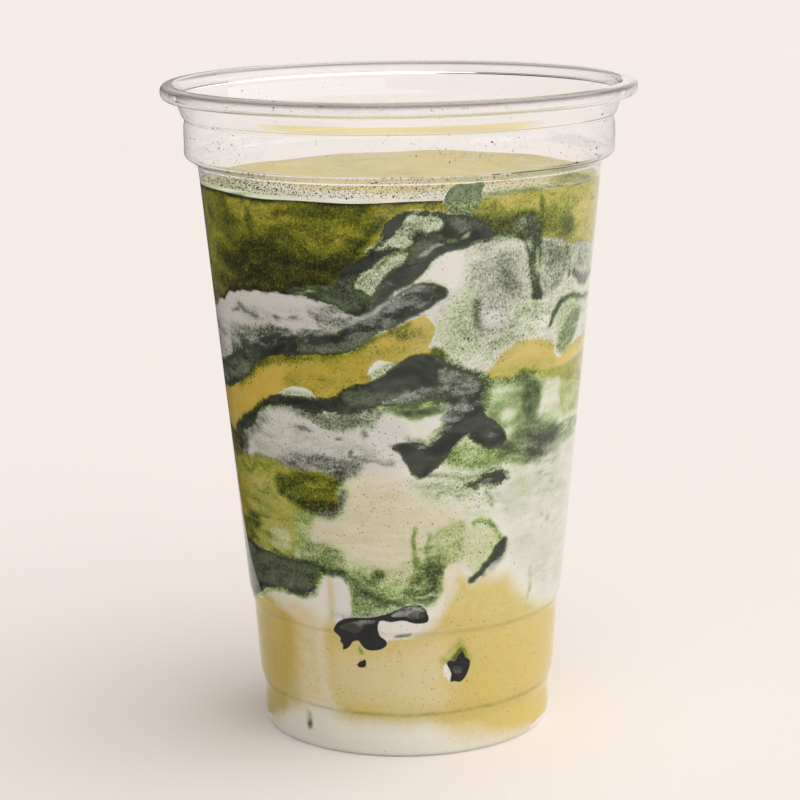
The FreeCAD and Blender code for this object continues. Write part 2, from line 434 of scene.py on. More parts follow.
@dataclass(frozen=True)
class CupWall:
    """Sizes of the cup's wall, which is as thick all over. Drops count down from the top."""

    rim_diameter: float
    height: float
    wall: float = 0.4
    foot_diameter: float = 61.0
    foot_round: float = 0.9
    foot_ring: float = 2.2
    base_raise: float = 2.6
    base_step_raise: float = 1.5
    base_middle_diameter: float = 34.0
    base_step_diameter: float = 49.0
    foot_widest: float = 3.2
    neck: float = 7.2
    neck_inset: float = 0.3
    lower_step: float = 11.6
    lower_step_depth: float = 1.2
    band_top: float = 25.8
    band_spread: float = 0.95
    upper_step: float = 30.0
    upper_step_depth: float = 1.0
    shoulder_drop: float = 16.3
    shoulder_depth: float = 2.7
    collar_drop: float = 14.6
    collar_inset: float = 4.6
    groove_drop: float = 7.3
    groove_depth: float = 0.3
    groove_slope: float = 1.3
    groove_step: float = 0.8
    lip_drop: float = 3.8
    lip_spread: float = 1.25
    roll_width: float = 3.4
    roll_height: float = 3.1
    roll_opening: float = 0.7
    step_round: float = 1.0
    shoulder_round: float = 0.8
    groove_round: float = 0.5
    side_from: float = 2.0      # the side is all that is wider than the foot's radius less this

    def corners(self) -> np.ndarray:
        """Corners (radius, height, bend radius) of the wall's middle line, from the axis out and up."""
        half = self.wall / 2
        foot = self.foot_diameter / 2 - half
        neck = foot - self.neck_inset
        lower = neck + self.lower_step_depth
        lower_top = lower + self.band_spread
        collar = self.rim_diameter / 2 - self.collar_inset - half
        groove = self.height - self.groove_drop
        roll_out = self.rim_diameter / 2 - half
        roll_in = self.rim_diameter / 2 - self.roll_width + half
        roll_top = self.height - half
        roll_foot = self.height - self.roll_height + half
        roll_round = min(self.roll_width, self.roll_height) / 2 - self.wall
        middle = self.base_middle_diameter / 2
        soft = self.step_round
        return np.array([
            (0, self.base_raise + half, 0),
            (middle, self.base_raise + half, soft),
            (middle + self.base_raise - self.base_step_raise, self.base_step_raise + half, soft),
            (self.base_step_diameter / 2, self.base_step_raise + half, soft),
            (foot - self.foot_round - self.foot_ring, half, soft),
            (foot - half, half, self.foot_round),
            (foot, self.foot_widest, soft),
            (neck, self.neck, soft),
            (lower, self.lower_step, soft),
            (lower_top, self.band_top, soft),
            (lower_top + self.upper_step_depth, self.upper_step, soft),
            (collar - self.shoulder_depth, self.height - self.shoulder_drop, self.shoulder_round),
            (collar, self.height - self.collar_drop, self.shoulder_round),
            (collar, groove - self.groove_slope, soft),
            (collar - self.groove_depth, groove, self.groove_round),
            (collar + self.groove_depth, groove + self.groove_step, self.groove_round),
            (collar + self.lip_spread, self.height - self.lip_drop, soft),
            (roll_in, roll_top, roll_round),
            (roll_out, roll_top, roll_round),
            (roll_out, roll_foot, roll_round),
            (roll_in + self.roll_opening, roll_foot, 0),
        ], dtype=float)

    def line(self, offset: float) -> np.ndarray:
        """The wall's middle line moved to its left, into the cup, each straight run staying parallel.

        A corner moves along the sum of its two runs' normals, divided by one
        plus their dot product.

        Args:
            offset: how far, in millimetres; negative is out of the cup.

        Returns:
            Rows of (radius, height), with the bends rounded.
        """
        corners = self.corners()
        run = np.diff(corners[:, :2], axis=0)
        normal = np.stack([-run[:, 1], run[:, 0]], axis=1) / np.linalg.norm(run, axis=1)[:, None]
        before, after = np.vstack([normal[:1], normal]), np.vstack([normal, normal[-1:]])
        shift = (before + after) * (offset / (1 + np.sum(before * after, axis=1)))[:, None]
        turn = before[:, 0] * after[:, 1] - before[:, 1] * after[:, 0]
        bend = np.maximum(corners[:, 2] - np.sign(turn) * offset, self.wall / 2)
        return bend_corners(np.column_stack([corners[:, :2] + shift, bend]))

    def outside(self) -> np.ndarray:
        """The wall's outer line."""
        return self.line(-self.wall / 2)

    def inside(self) -> np.ndarray:
        """The wall's inner line."""
        return self.line(self.wall / 2)

    def inner_radius(self, height: np.ndarray | float) -> np.ndarray:
        """The inside's radius at heights between the foot and the roll."""
        line = self.inside()
        wide = line[:, 0] > self.foot_diameter / 2 - self.side_from
        side = line[wide & (line[:, 1] < self.height - self.lip_drop)]
        return np.interp(height, side[:, 1], side[:, 0])


# ---- Marbling ----

DEGREE = 0.63   # millimetres along the chart for each degree round the cup


class Tone(Enum):
    """What a mark is made of. The first four cover what is under them, and the rest stain it."""

    MUSTARD = "mustard"
    CREAM = "cream"
    CHARCOAL = "charcoal"
    INK = "ink"
    POWDER = "powder"       # green black powder stirred in: a tint when thin, nearly black when thick
    LEAF = "leaf"           # makes the powder greener
    LILAC = "lilac"         # makes cream and powder cooler
    MILK = "milk"
    STRAW = "straw"
    HAZE = "haze"           # pale dust on what is dark
    GRIT = "grit"           # loose specks
    DUST = "dust"           # how dusty the edge of the charcoal is
    MELT = "melt"           # how far the edge of the cream melts away
    WASH = "wash"           # cream stirred into the mustard, which stays there under what is laid on it


MUSTARD, CREAM, CHARCOAL, INK, POWDER, LEAF, LILAC, MILK, STRAW, HAZE, GRIT, DUST, MELT, WASH = Tone
COVERING = (CREAM, CHARCOAL, INK)
STAINS = tuple(tone for tone in Tone if tone not in (MUSTARD, *COVERING))

Lay = Callable[..., None]


class Part(Enum):
    """Where round the cup a mark is seen: at the front only, at the back only, or at the front and echoed behind."""

    FRONT = "front"
    BACK = "back"
    ROUND = "round"


def spot(angle: float, height: float, wide: float, tall: float) -> tuple[tuple[float, float], ...]:
    """An oval outline: four points about a middle, its half width and half height in mm."""
    side = wide / DEGREE
    return ((angle - side, height), (angle, height - tall), (angle + side, height), (angle, height + tall))


def outline_distance(places: np.ndarray, outline: np.ndarray) -> np.ndarray:
    """Distance to a closed outline, positive inside it.

    The distance is to the nearest point of the nearest side. A place is inside
    where a level line from it crosses the outline an odd number of times.

    Args:
        places: rows of chart places in mm.
        outline: the outline's points in order, in mm.

    Returns:
        The distance for each place, in mm.
    """
    least = 1e-9    # keeps a side of no length or no rise from dividing by zero
    start, end = outline, np.roll(outline, -1, axis=0)
    side = end - start
    offset = places[:, None, :] - start[None]
    share = np.clip(np.sum(offset * side, axis=2) / np.maximum(np.sum(side * side, axis=1), least), 0, 1)
    nearest = np.sqrt(np.min(np.sum((offset - share[..., None] * side) ** 2, axis=2), axis=1))
    spans = (start[:, 1] > places[:, 1:2]) != (end[:, 1] > places[:, 1:2])
    rise = np.where(np.abs(side[:, 1]) < least, least, side[:, 1])
    crossing = start[:, 0] + (places[:, 1:2] - start[:, 1]) * side[:, 0] / rise
    inside = np.sum(spans & (places[:, 0:1] < crossing), axis=1) % 2 == 1
    return np.where(inside, nearest, -nearest)


def stroke_distance(places: np.ndarray, line: np.ndarray) -> tuple[np.ndarray, np.ndarray, np.ndarray]:
    """Distance into a stroke, and where along and across it a place lies.

    Along each span the half width changes evenly, and the distance into the
    stroke is the half width less the distance to the span.

    Args:
        places: rows of chart places in mm.
        line: rows of chart place and half width along the stroke's middle.

    Returns:
        The distance in, the distance along and the signed distance across.
    """
    start, span = line[:-1], np.diff(line, axis=0)
    length = np.maximum(np.hypot(span[:, 0], span[:, 1]), 1e-6)
    offset = places[:, None, :] - start[None, :, :2]
    share = np.clip(np.sum(offset * span[:, :2], axis=2) / length ** 2, 0, 1)
    away = np.linalg.norm(offset - share[..., None] * span[:, :2], axis=2)
    inward = start[:, 2] + share * span[:, 2] - away
    best = np.argmax(inward, axis=1)
    row = np.arange(len(places))
    travelled = np.concatenate([[0], np.cumsum(length)[:-1]])
    along = travelled[best] + share[row, best] * length[best]
    cross = span[best, 0] * offset[row, best, 1] - span[best, 1] * offset[row, best, 0]
    return inward[row, best], along, cross / length[best]


@dataclass
class Marbling:
    """Lays marks, one after another, on places of the drink's side: rows of x, y and z in mm."""

    places: np.ndarray
    reach: float = 3.0              # mm past an edge at which a covering tone's distance is held
    # The wander of every edge: height and size in mm, and pattern.
    wander: tuple[tuple[float, float, int], ...] = ((0.75, 7.0, 0), (0.4, 2.6, 5), (0.22, 1.2, 9))
    most_wander: float = 1.5        # mm that an edge may wander
    right_side: float = 95          # degrees round the cup where the front's chart turns back
    left_side: float = 265
    curve_steps: int = 7            # samples between two points of a mark

    def __post_init__(self) -> None:
        """Starts with plain mustard."""
        self.angle = degrees_round(self.places)
        self.warp = np.stack([self._warp(11), self._warp(57)], axis=1)
        self.charts = self._charts()
        self.tones = {tone: np.full(len(self.places), -self.reach) for tone in COVERING}
        self.tones.update({tone: np.zeros(len(self.places)) for tone in STAINS})

    def _warp(self, seed: int) -> np.ndarray:
        """One direction of the wander of every edge: noise of three sizes, in mm."""
        return sum(height * noise(self.places, size, seed + step) for height, size, step in self.wander)

    def _charts(self) -> dict[Part, tuple[np.ndarray, np.ndarray]]:
        """For each part of the cup, the numbers of its places and where they lie on the chart, in mm.

        Past a wavy line down each side the chart turns back, so that the marks
        of the front go on behind without a break. The way back is quicker near
        both sides than in the middle, and lifted and stirred, so that it
        doesn't read as a mirror image.
        """
        height = self.places[:, 2]
        right = self.right_side + 5 * np.sin(height / 13)
        left = self.left_side + 5 * np.sin(height / 17 + 1)
        ahead = np.where(self.angle < left - 360, self.angle + 360, self.angle)
        turn = (ahead - right) / (left - right)
        behind = turn > 0
        echo = right + (left - 360 - right) * (turn + 0.06 * np.sin(2 * math.pi * turn))
        stir = smoothstep(0, 0.16, np.minimum(turn, 1 - turn))
        lift = (8 * np.sin(1.5 * math.pi * turn + 0.4) * stir
                * smoothstep(0, 25, height) * smoothstep(0, 25, 117 - height))
        along = np.where(behind, echo, ahead) * DEGREE + 5 * stir * noise(self.places, 17.0, 301)
        up = height + np.where(behind, lift, 0) + 4 * stir * noise(self.places, 17.0, 302)
        chart = np.stack([along, up], axis=1)
        whole, front, back = np.arange(len(height)), np.flatnonzero(~behind), np.flatnonzero(behind)
        return {
            Part.FRONT: (front, chart[front]),
            Part.BACK: (back, np.stack([ahead[back] * DEGREE, height[back]], axis=1)),
            Part.ROUND: (whole, chart),
        }

    def lay(self, tones: Tone | dict[Tone, float], *points: tuple[float, ...], soft: float = 0.5,
            wobble: float = 1.0, streak: float = 0.0, part: Part = Part.ROUND) -> None:
        """Lays one pool or stroke.

        A covering tone keeps, for every place, the distance into its own area,
        and takes that area from the other covering tones. A stain moves its
        own value towards the mark's level, fading over the mark's softness.

        Args:
            tones: one covering tone, or some stains, each with its level.
            points: degrees round the cup and height in mm, of a pool's outline.
                A stroke's have a third number, its half width in mm. The curve
                through them is smooth.
            soft: mm over which a stain fades on each side of its edge.
            wobble: how much of the wander of every edge it takes.
            streak: how far a stain is drawn out into threads.
            part: where round the cup it is seen.
        """
        points = np.array(points, dtype=float)
        points[:, 0] *= DEGREE
        closed = points.shape[1] == 2
        line = through_points(points, self.curve_steps, closed)
        numbers, chart = self.charts[part]
        covering = isinstance(tones, Tone)
        margin = (self.reach if covering else soft) + self.most_wander * wobble
        margin += 0.0 if closed else float(points[:, 2].max())
        low, high = line[:, :2].min(axis=0) - margin, line[:, :2].max(axis=0) + margin
        near = np.all((chart > low) & (chart < high), axis=1)
        numbers = numbers[near]
        here = chart[near] + self.warp[numbers] * wobble
        if closed:
            inward, along, across = outline_distance(here, line), here[:, 0], here[:, 1]
        else:
            inward, along, across = stroke_distance(here, line)
        if covering:
            self._cover(tones, numbers, inward)
            return
        strength = smoothstep(-soft, soft, inward)
        if streak:
            drawn_out = np.stack([along, across, np.full(len(here), points[0, 0])], axis=1)
            threads = noise(drawn_out, (5.0, 0.65, 1.0), 77, 2)
            strength = strength * np.clip(1 + streak * (threads - 0.35), 0, 1)
        for tone, level in tones.items():
            value = self.tones[tone]
            value[numbers] += (level - value[numbers]) * strength

    def _cover(self, tone: Tone, numbers: np.ndarray, inward: np.ndarray) -> None:
        """Lays a covering tone on the ones that it covers, pushes back those over it, and wipes the stains."""
        over = COVERING[COVERING.index(tone):] if tone in COVERING else COVERING
        for other in over:
            value = self.tones[other]
            kept = np.maximum(value[numbers], inward) if other is tone else np.minimum(value[numbers], -inward)
            value[numbers] = np.clip(kept, -self.reach, self.reach)
        wiped = smoothstep(-0.1, 0.3, inward)
        for stain in STAINS:
            if stain is not WASH:
                self.tones[stain][numbers] *= 1 - wiped


def stirred_in(lay: Lay) -> None:
    """Cream stirred into the mustard, more to the right."""
    lay({WASH: 0.24}, (-40, -5), (-30, 30), (4, 42), (10, 70), (3, 88), (20, 122), (106, 122), (106, -5), soft=6)
    lay({WASH: 0.36}, (10, 44), (40, 47), (75, 42), (75, 28), (40, 24), (12, 30), soft=4)
    lay({WASH: 0.3}, (-10, 20), (10, 22), (12, 6), (-12, 6), soft=4)
    lay({WASH: 0.32}, (-62, 58), (-42, 60), (-36, 44), (-60, 42), soft=4)


def olive_neck(lay: Lay) -> None:
    """The mottled olive under the froth, and the mustard that shows through it."""
    lay({POWDER: 0.6, GRIT: 0.8, LEAF: 0.4}, (-106, 118), (-106, 92), (-80, 91), (-68, 93.5), (-58, 96.5),
        (-45, 97.5), (-34, 98.5), (-24, 100), (-15, 103.5), (-9, 107), (-4, 110.5), (2, 114.5), (0, 118), soft=1.5)
    lay({POWDER: 0.42}, (-106, 118), (-70, 118), (-62, 112), (-66, 104), (-74, 97), (-106, 98), soft=3, streak=0.4)
    lay({POWDER: 0.27, LEAF: 0.3}, (-56, 115.5), (-45, 115.8), (-24, 115), (-24, 112.8), (-40, 111.6), (-48, 112.5),
        (-57, 112), soft=1)
    lay({POWDER: 0.42}, (-30, 110.5), (-20, 110.8), (-10, 111.5), (-6, 112.3), (-9, 108.5), (-14, 105.5),
        (-20, 105.5), (-28, 107.5), soft=1.4)
    lay({POWDER: 0.85}, (-32, 99.5, 1), (-22, 101.5, 2), (-14, 105.2, 2.6), (-9, 108.4, 2), (-4, 112, 1), soft=1.6)
    lay({POWDER: 0.72}, (-36, 113.5, 0.8), (-28, 114, 1.2), (-18, 113.5, 1.2), (-8, 114.5, 0.8), soft=1.2)
    lay({POWDER: 0.84, LEAF: 0.3}, (-62, 104), (-48, 106), (-42, 109), (-36, 105.5), (-28, 104.5), (-18, 104.5),
        (-12, 103), (-18, 99.5), (-34, 98.3), (-48, 97.6), (-60, 97), soft=2)
    lay({POWDER: 0.88}, (-47, 113.5, 0.7), (-46, 111, 1), (-45, 107, 1.2), (-45, 104, 1), soft=0.9)
    lay({POWDER: 0.9}, (-62, 96, 0.3), (-50, 97.6, 0.4), (-40, 98, 0.5), (-32, 98.4, 0.4), soft=0.5)
    lay({POWDER: 0.2, GRIT: 0.9, LEAF: 0.5}, (22, 118), (60, 118), (106, 117), (106, 104), (60, 105), (40, 107),
        (28, 110), soft=1.5, streak=0.3)
    lay({POWDER: 0.2, LEAF: 0.4}, (22, 117.5), (36, 117.5), (36, 114), (22, 114), soft=1.2)
    lay({POWDER: 0.74, LEAF: 0.3, GRIT: 1}, (19, 114), (27, 113.6), (34, 112), (34, 108.6), (27, 108.6), (20, 110),
        soft=1.3)
    lay({POWDER: 0.62, LEAF: 0.4, GRIT: 1}, (42, 113.5), (48, 112.5), (57, 111), (60, 107), (52, 105.5), (44, 106.5),
        soft=1.8)
    lay({POWDER: 0.72}, (42, 115.5, 0.5), (42.6, 111, 0.8), (43, 107, 0.9), soft=0.7)
    lay({POWDER: 0.5, LEAF: 0.2, GRIT: 0.8}, (-10, 115.5), (0, 117.2), (12, 117.5), (26, 116), (30, 112), (22, 113),
        (8, 114.5), (-4, 113), soft=0.8)


def upper_white(lay: Lay) -> None:
    """The large pale pool at the upper right, with its green and grey clouds."""
    lay(CREAM, (3, 101.5), (8, 104.7), (14, 106.8), (20, 108), (27, 108.9), (34, 108.2), (41, 107), (48, 106.6),
        (54, 105.2), (62, 104.5), (72, 103.5), (84, 102.5), (106, 100), (108, 88), (84, 85.5), (70, 84.6), (61, 84),
        (57.5, 82), (54, 83.2), (52, 85.8), (45, 87.1), (38, 86.8), (32, 85.6), (27, 83), (24.3, 80.4), (20, 80),
        (15, 82), (12, 86.3), (7.5, 87), (8.3, 91), (6, 93.6), (8, 96), (12.5, 98), (6, 100))
    lay({POWDER: 0.17, GRIT: 0.75, LILAC: 0.15}, (20, 109), (44, 108), (64, 105), (106, 101), (106, 86), (60, 83),
        (40, 86), (20, 80), (8, 87), (10, 95), (17, 99), soft=1.5)
    lay({POWDER: 0.27, LEAF: 0.1, LILAC: 0.1}, (12, 96), (20, 99), (24, 95), (24, 88), (18, 82), (12, 87), (9, 92),
        soft=2)
    lay({POWDER: 0.36, LILAC: 0.5, GRIT: 0.8}, (21, 107.5), (30, 106), (37, 103), (38, 98), (34, 92), (26, 88),
        (22, 92), (22, 101), soft=3)
    lay({POWDER: 0.58, LEAF: 0.1}, (28, 104.5), (33, 104), (35, 98), (30, 97), soft=1.8)
    lay({POWDER: 0.05}, (25, 93.5), (32, 93), (33, 90.5), (27, 90), soft=1)
    lay({POWDER: 0.7}, (22.5, 95.5, 0.8), (23.5, 91, 0.8), soft=0.8)
    lay({POWDER: 0.34, LEAF: 0.1}, (36, 96), (50, 94), (51, 89), (42, 88), (30, 86.5), (25, 83.5), (22, 84), (27, 89),
        soft=1.4, streak=0.5)
    lay({POWDER: 0.05}, (40, 91), (48, 92), (52, 90.5), (46, 88.7), soft=0.8)
    lay({POWDER: 0.5, GRIT: 1, LILAC: 0.25}, (43, 107), (58, 106), (57, 99), (50, 96.5), (45, 96), (43.5, 100),
        soft=1.2)
    lay({POWDER: 0.95}, (46.3, 104), (47.6, 104.3), (47.4, 103.3), soft=0.25)
    lay({POWDER: 0.9}, (55.5, 104.5, 0.3), (57.5, 101, 0.4), (57, 98, 0.3), soft=0.3)
    lay({POWDER: 0.36, LILAC: 0.3}, (58, 105), (75, 104.4), (86, 101), (80, 97), (60, 98), soft=1.5, streak=0.4)
    lay({POWDER: 0.75, LILAC: 0.5}, (60, 98.5, 0.6), (66, 96.6, 1), (72, 96.2, 1.1), (80, 97, 0.6), soft=0.5,
        part=Part.FRONT)
    lay({POWDER: 0.34, LEAF: 0.3}, (53, 88), (56, 92), (64, 92.6), (72, 90), (60, 86), soft=0.8, part=Part.FRONT)
    lay({POWDER: 0.66, LEAF: 0.3}, (55, 86), (59, 89.4), (66, 91), (70, 88.6), (66, 85), (58, 83.4), soft=0.9,
        streak=0.3, part=Part.FRONT)
    lay({POWDER: 0.85, LEAF: 0.2}, (49.7, 89.3, 0.5), (51.5, 91.8, 0.7), (55, 93.3, 0.6), (62, 93, 0.5),
        (80, 91.8, 0.4), soft=0.5, part=Part.FRONT)


def left_lilac(lay: Lay) -> None:
    """The cool pale tongue that comes in from the left and curls up to the middle."""
    lay(CREAM, (-106, 91), (-80, 91.2), (-70, 93.3), (-62, 95.5), (-50, 97), (-40, 97.5), (-30, 97.6), (-24, 97),
        (-18, 96), (-13, 94.6), (-9, 95.2), (-4, 97.4), (-1, 99.4), (6, 100.6), (11, 99.3), (12.8, 97.8), (10, 95),
        (0, 93.2), (-6, 91.2), (-12, 89.6), (-20, 88.3), (-24, 87.3), (-33, 87.2), (-42, 86.6), (-50, 85.6),
        (-58, 84), (-66, 80.5), (-75, 78.5), (-85, 77.5), (-106, 79))
    lay({POWDER: 0.97}, (-70, 93.4, 0.2), (-62, 95.6, 0.3), (-50, 97.1, 0.4), (-40, 97.7, 0.4), (-30, 97.8, 0.4),
        (-24, 97.2, 0.3), soft=0.35, wobble=1.0)
    lay({LILAC: 0.7}, (-106, 91), (-62, 97), (-24, 98), (12, 99), (8, 94), (-24, 86.5), (-60, 82), (-85, 77),
        (-106, 78), soft=1)
    lay({POWDER: 0.2, GRIT: 0.5}, (-60, 93.5), (-44, 94), (-28, 95), (-22, 93), (-34, 90), (-52, 90), soft=1.2,
        streak=0.5)
    lay({POWDER: 0.66}, (-57, 93.7, 0.3), (-54.5, 92.8, 0.5), (-51.5, 92, 0.4), (-48, 91.3, 0.3), soft=0.6)
    lay({POWDER: 0.6}, (-62, 92.2, 0.3), (-57, 92.4, 0.4), soft=0.4)
    lay({POWDER: 0.62}, *spot(-40, 92, 0.9, 0.6), soft=0.6)
    lay({POWDER: 0.5}, *spot(-34, 92.2, 1.0, 0.5), soft=0.6)
    lay({POWDER: 0.6, GRIT: 0.9}, (-29, 94.6), (-20, 96), (-12, 94), (-16, 91.5), (-24, 91.5), soft=0.9, streak=0.5)
    lay({POWDER: 0.45}, (-106, 89), (-80, 88.8), (-66, 88.5), (-62, 85), (-68, 81), (-85, 80), (-106, 81), soft=1.2,
        streak=0.7)
    lay({POWDER: 0.62, LEAF: 0.3, GRIT: 0.8}, (-64, 88.5), (-57, 89.5), (-48, 89.2), (-42, 89.5), (-42, 86.5),
        (-50, 84), (-58, 81.5), (-65, 81), soft=1.2, streak=0.4)


def upper_dark(lay: Lay) -> None:
    """The dark band under the tongue, its green fringe and the frosty stroke above it."""
    lay(CHARCOAL, (-46, 88), (-38, 88.9), (-33, 88.8), (-28, 88.5), (-24, 88.3), (-20, 89.6), (-14, 91), (-6, 92.3),
        (0, 93.8), (4, 95.3), (8, 96), (5, 94.6), (0, 93), (-5, 91.3), (-10, 89.6), (-14, 87.6), (-18, 86.3),
        (-24, 85.6), (-30, 85.2), (-38, 84.6), (-46, 83.6), (-54, 80.7), (-62, 77.2), (-72, 75), (-85, 74.3),
        (-106, 74.5), (-106, 79), (-85, 79), (-75, 80), (-66, 82), (-58, 84.3), (-52, 85.8), (-48, 87), wobble=0.5)
    lay(CHARCOAL, (-30, 87, 1.5), (-20, 88.8, 1.6), (-12, 91, 1.4), (-5, 93, 1.6), (0, 95.5, 2.2), (6, 97.8, 2),
        (10.6, 98.3, 1.3), wobble=0.4)
    lay({POWDER: 0.64, LEAF: 0.4}, (-62, 76.6, 0.5), (-54, 80, 0.8), (-46, 82.9, 1), (-36, 84, 0.8), (-26, 84.5, 0.8),
        (-18, 85.2, 0.9), (-14, 86.9, 0.9), (-10, 89, 0.8), (-4, 90.4, 0.6), (2, 92.4, 0.4), soft=0.8, wobble=0.5)
    lay({GRIT: 1}, (-62, 76, 1), (-46, 82.5, 1.2), (-26, 84.3, 1.3), (-10, 88.6, 1.5), (0, 91.5, 1), soft=0.8)
    lay({MILK: 0.5}, (-20, 86.2, 0.3), (-17, 86.4, 0.5), (-14, 87.4, 0.5), (-12, 88.4, 0.3), soft=0.3)
    lay({DUST: 0.9}, (-64, 85), (-52, 90), (-30, 91), (-18, 92), (-18, 87.5), (-30, 87), (-44, 87), (-56, 82),
        (-66, 80), soft=1)
    lay({HAZE: 0.3, LEAF: 0.8}, (-106, 79), (-80, 79.5), (-66, 81.5), (-56, 84), (-52, 82), (-60, 78.5), (-72, 76),
        (-106, 75.5), soft=1, streak=0.4)
    lay({LEAF: 0.85, HAZE: 0.25}, (-32, 86, 0.7), (-22, 86.6, 1.1), (-15, 88.2, 1.2), (-8, 91, 1), (-2, 92.8, 0.5),
        soft=0.8)
    lay({HAZE: 0.4}, (-52, 85.8, 0.8), (-46, 86.3, 1), (-38, 87.6, 0.8), (-30, 87.8, 0.7), soft=0.9, streak=0.6)
    lay({HAZE: 0.55, LEAF: 0.4}, (-26, 89.8, 0.6), (-16, 92, 0.9), (-8, 94, 1.1), (-2, 96.6, 1.3), (3, 98.8, 1),
        (9, 99.2, 0.6), soft=0.8, streak=0.3, wobble=0.5)
    lay({HAZE: 0.4, LEAF: 0.5}, (-18, 89.8, 0.8), (-4, 93.2, 1.2), (4, 96.2, 1.5), (9, 97.6, 0.7), soft=0.8,
        streak=0.6, wobble=0.5)


def dark_streak(lay: Lay) -> None:
    """The dark band that climbs from the left to the upper right, with two pale patches on it."""
    lay(CHARCOAL, (-35, 98.2), (-27, 99.2), (-19.5, 100), (-16.5, 102.5), (-12, 105), (-8, 107.3), (-5, 109.7),
        (-1.5, 113), (3, 114.2), (9, 114), (13, 113.2), (19, 113), (23, 111.6), (26, 110), (25, 108.6), (20, 108),
        (14, 107), (8, 104.8), (4, 101.8), (1, 99.8), (-3, 98.3), (-6.5, 96.2), (-12.5, 93.8), (-17.5, 95.8),
        (-23.5, 97.3), (-30, 97.7), wobble=0.6)
    lay({POWDER: 0.8, LEAF: 0.2}, (24, 111.8), (32, 110), (33, 108.3), (26, 108.6), soft=0.8)
    lay({LEAF: 0.7}, (-22, 100), (-12, 102), (-6, 100), (-6, 96.5), (-12, 95), (-22, 96.5), soft=1)
    lay({LEAF: 0.6}, (0, 106), (8, 110), (14, 109), (8, 106), (2, 103), soft=1)
    lay({LEAF: 0.3, HAZE: 0.2}, (12, 113), (22, 112.5), (24, 110), (12, 109.5), soft=1)
    lay(CREAM, (-32, 97.9, 0.2), (-27, 98.6, 0.45), (-22, 98.6, 0.5), (-18, 98, 0.2), wobble=0.5)
    lay({POWDER: 0.5, LEAF: 0.3}, (-32, 97.9, 0.4), (-27, 98.6, 0.7), (-22, 98.6, 0.7), (-18, 98, 0.4), soft=0.4)
    lay(CREAM, (-9.5, 107.2), (-6, 107.8), (-3.5, 109.3), (-1, 111.2), (1.5, 113), (6, 113.9), (10, 113.6),
        (11.6, 112), (10, 110.6), (7.5, 110), (4, 108.2), (1, 106.6), (-1.5, 106.7), (-4, 107.2), (-6.5, 106.9),
        wobble=0.7)
    lay(CREAM, (-13.5, 99.6), (-11, 102.3), (-8, 104.3), (-4, 105.8), (-0.5, 106.3), (2, 106.2), (1.5, 105.2),
        (0, 103.8), (-2.5, 102.6), (-4.5, 101.2), (-6, 99), (-8, 97.6), (-11, 98.3), wobble=0.7)
    lay({POWDER: 0.3, GRIT: 0.9}, (-14, 97), (-10, 108), (2, 114.5), (13, 113.5), (3, 105), (-6, 97), soft=1)
    lay({POWDER: 0.95}, (2, 108.3), (3.5, 110.2), (6.5, 110.3), (6, 108.6), (4, 107.7), soft=0.5)
    lay({POWDER: 0.7, LEAF: 0.3}, (-7, 103.5, 0.3), (-3, 105.6, 0.4), (0, 106, 0.3), soft=0.4)
    lay({HAZE: 0.3}, *spot(-3.5, 99.8, 1.6, 1.1), soft=0.8)
    lay(CREAM, (12.5, 108.3, 0.2), (14.5, 108.6, 0.35), wobble=0.5)
    lay(CREAM, (16.5, 109, 0.2), (18, 109.4, 0.35), (19.5, 110.2, 0.2), wobble=0.5)
    lay({HAZE: 0.7, LEAF: 0.5}, (4, 104.8, 0.25), (7, 106.5, 0.35), (11, 107.6, 0.3), soft=0.3)
    lay(CREAM, (11, 118.5), (11.8, 115.5), (14, 113.9), (16.5, 113.2), (19, 113.6), (21.5, 115.5), (23, 118.5),
        wobble=0.3, part=Part.FRONT)
    lay({POWDER: 0.6, GRIT: 1, LEAF: 0.1}, (10.6, 118.5), (11.6, 115.3), (14, 113.6), (16.5, 112.9), (19.2, 113.3),
        (22, 115.3), (23.4, 118.5), soft=0.4, wobble=0.3, part=Part.FRONT)


def leaf_stem(lay: Lay) -> None:
    """The dusty leafy scrap at the upper right and the dark drip under it."""
    lay(CREAM, (32, 109.3), (34, 111.4), (36, 112), (39, 111.8), (41.5, 110), (41.5, 107), (38, 107.6), wobble=0.8)
    lay({POWDER: 0.8, GRIT: 0.8}, (30.5, 109), (33, 111.5), (36, 112.6), (40, 112.3), (42.5, 110), (42.5, 106),
        (38, 107), (34, 108), soft=0.8)
    lay({POWDER: 0.9}, (34.5, 108.3, 0.3), (37.5, 106.5, 0.35), (39.3, 103, 0.4), (40, 99.5, 0.4), soft=0.4,
        wobble=0.3)
    lay({POWDER: 0.86, LEAF: 0.2}, (39.5, 107.5), (43.2, 107), (43.4, 101), (43, 97), (41, 95.5), (40, 99), soft=0.5,
        wobble=0.3)
    lay({POWDER: 0.95}, (41, 97), (43.3, 98), (45, 95.4), (41.5, 95), soft=0.4, wobble=0.3)
    lay({POWDER: 0.35}, (41.5, 104.5, 0.35), (41.8, 101, 0.4), soft=0.5)


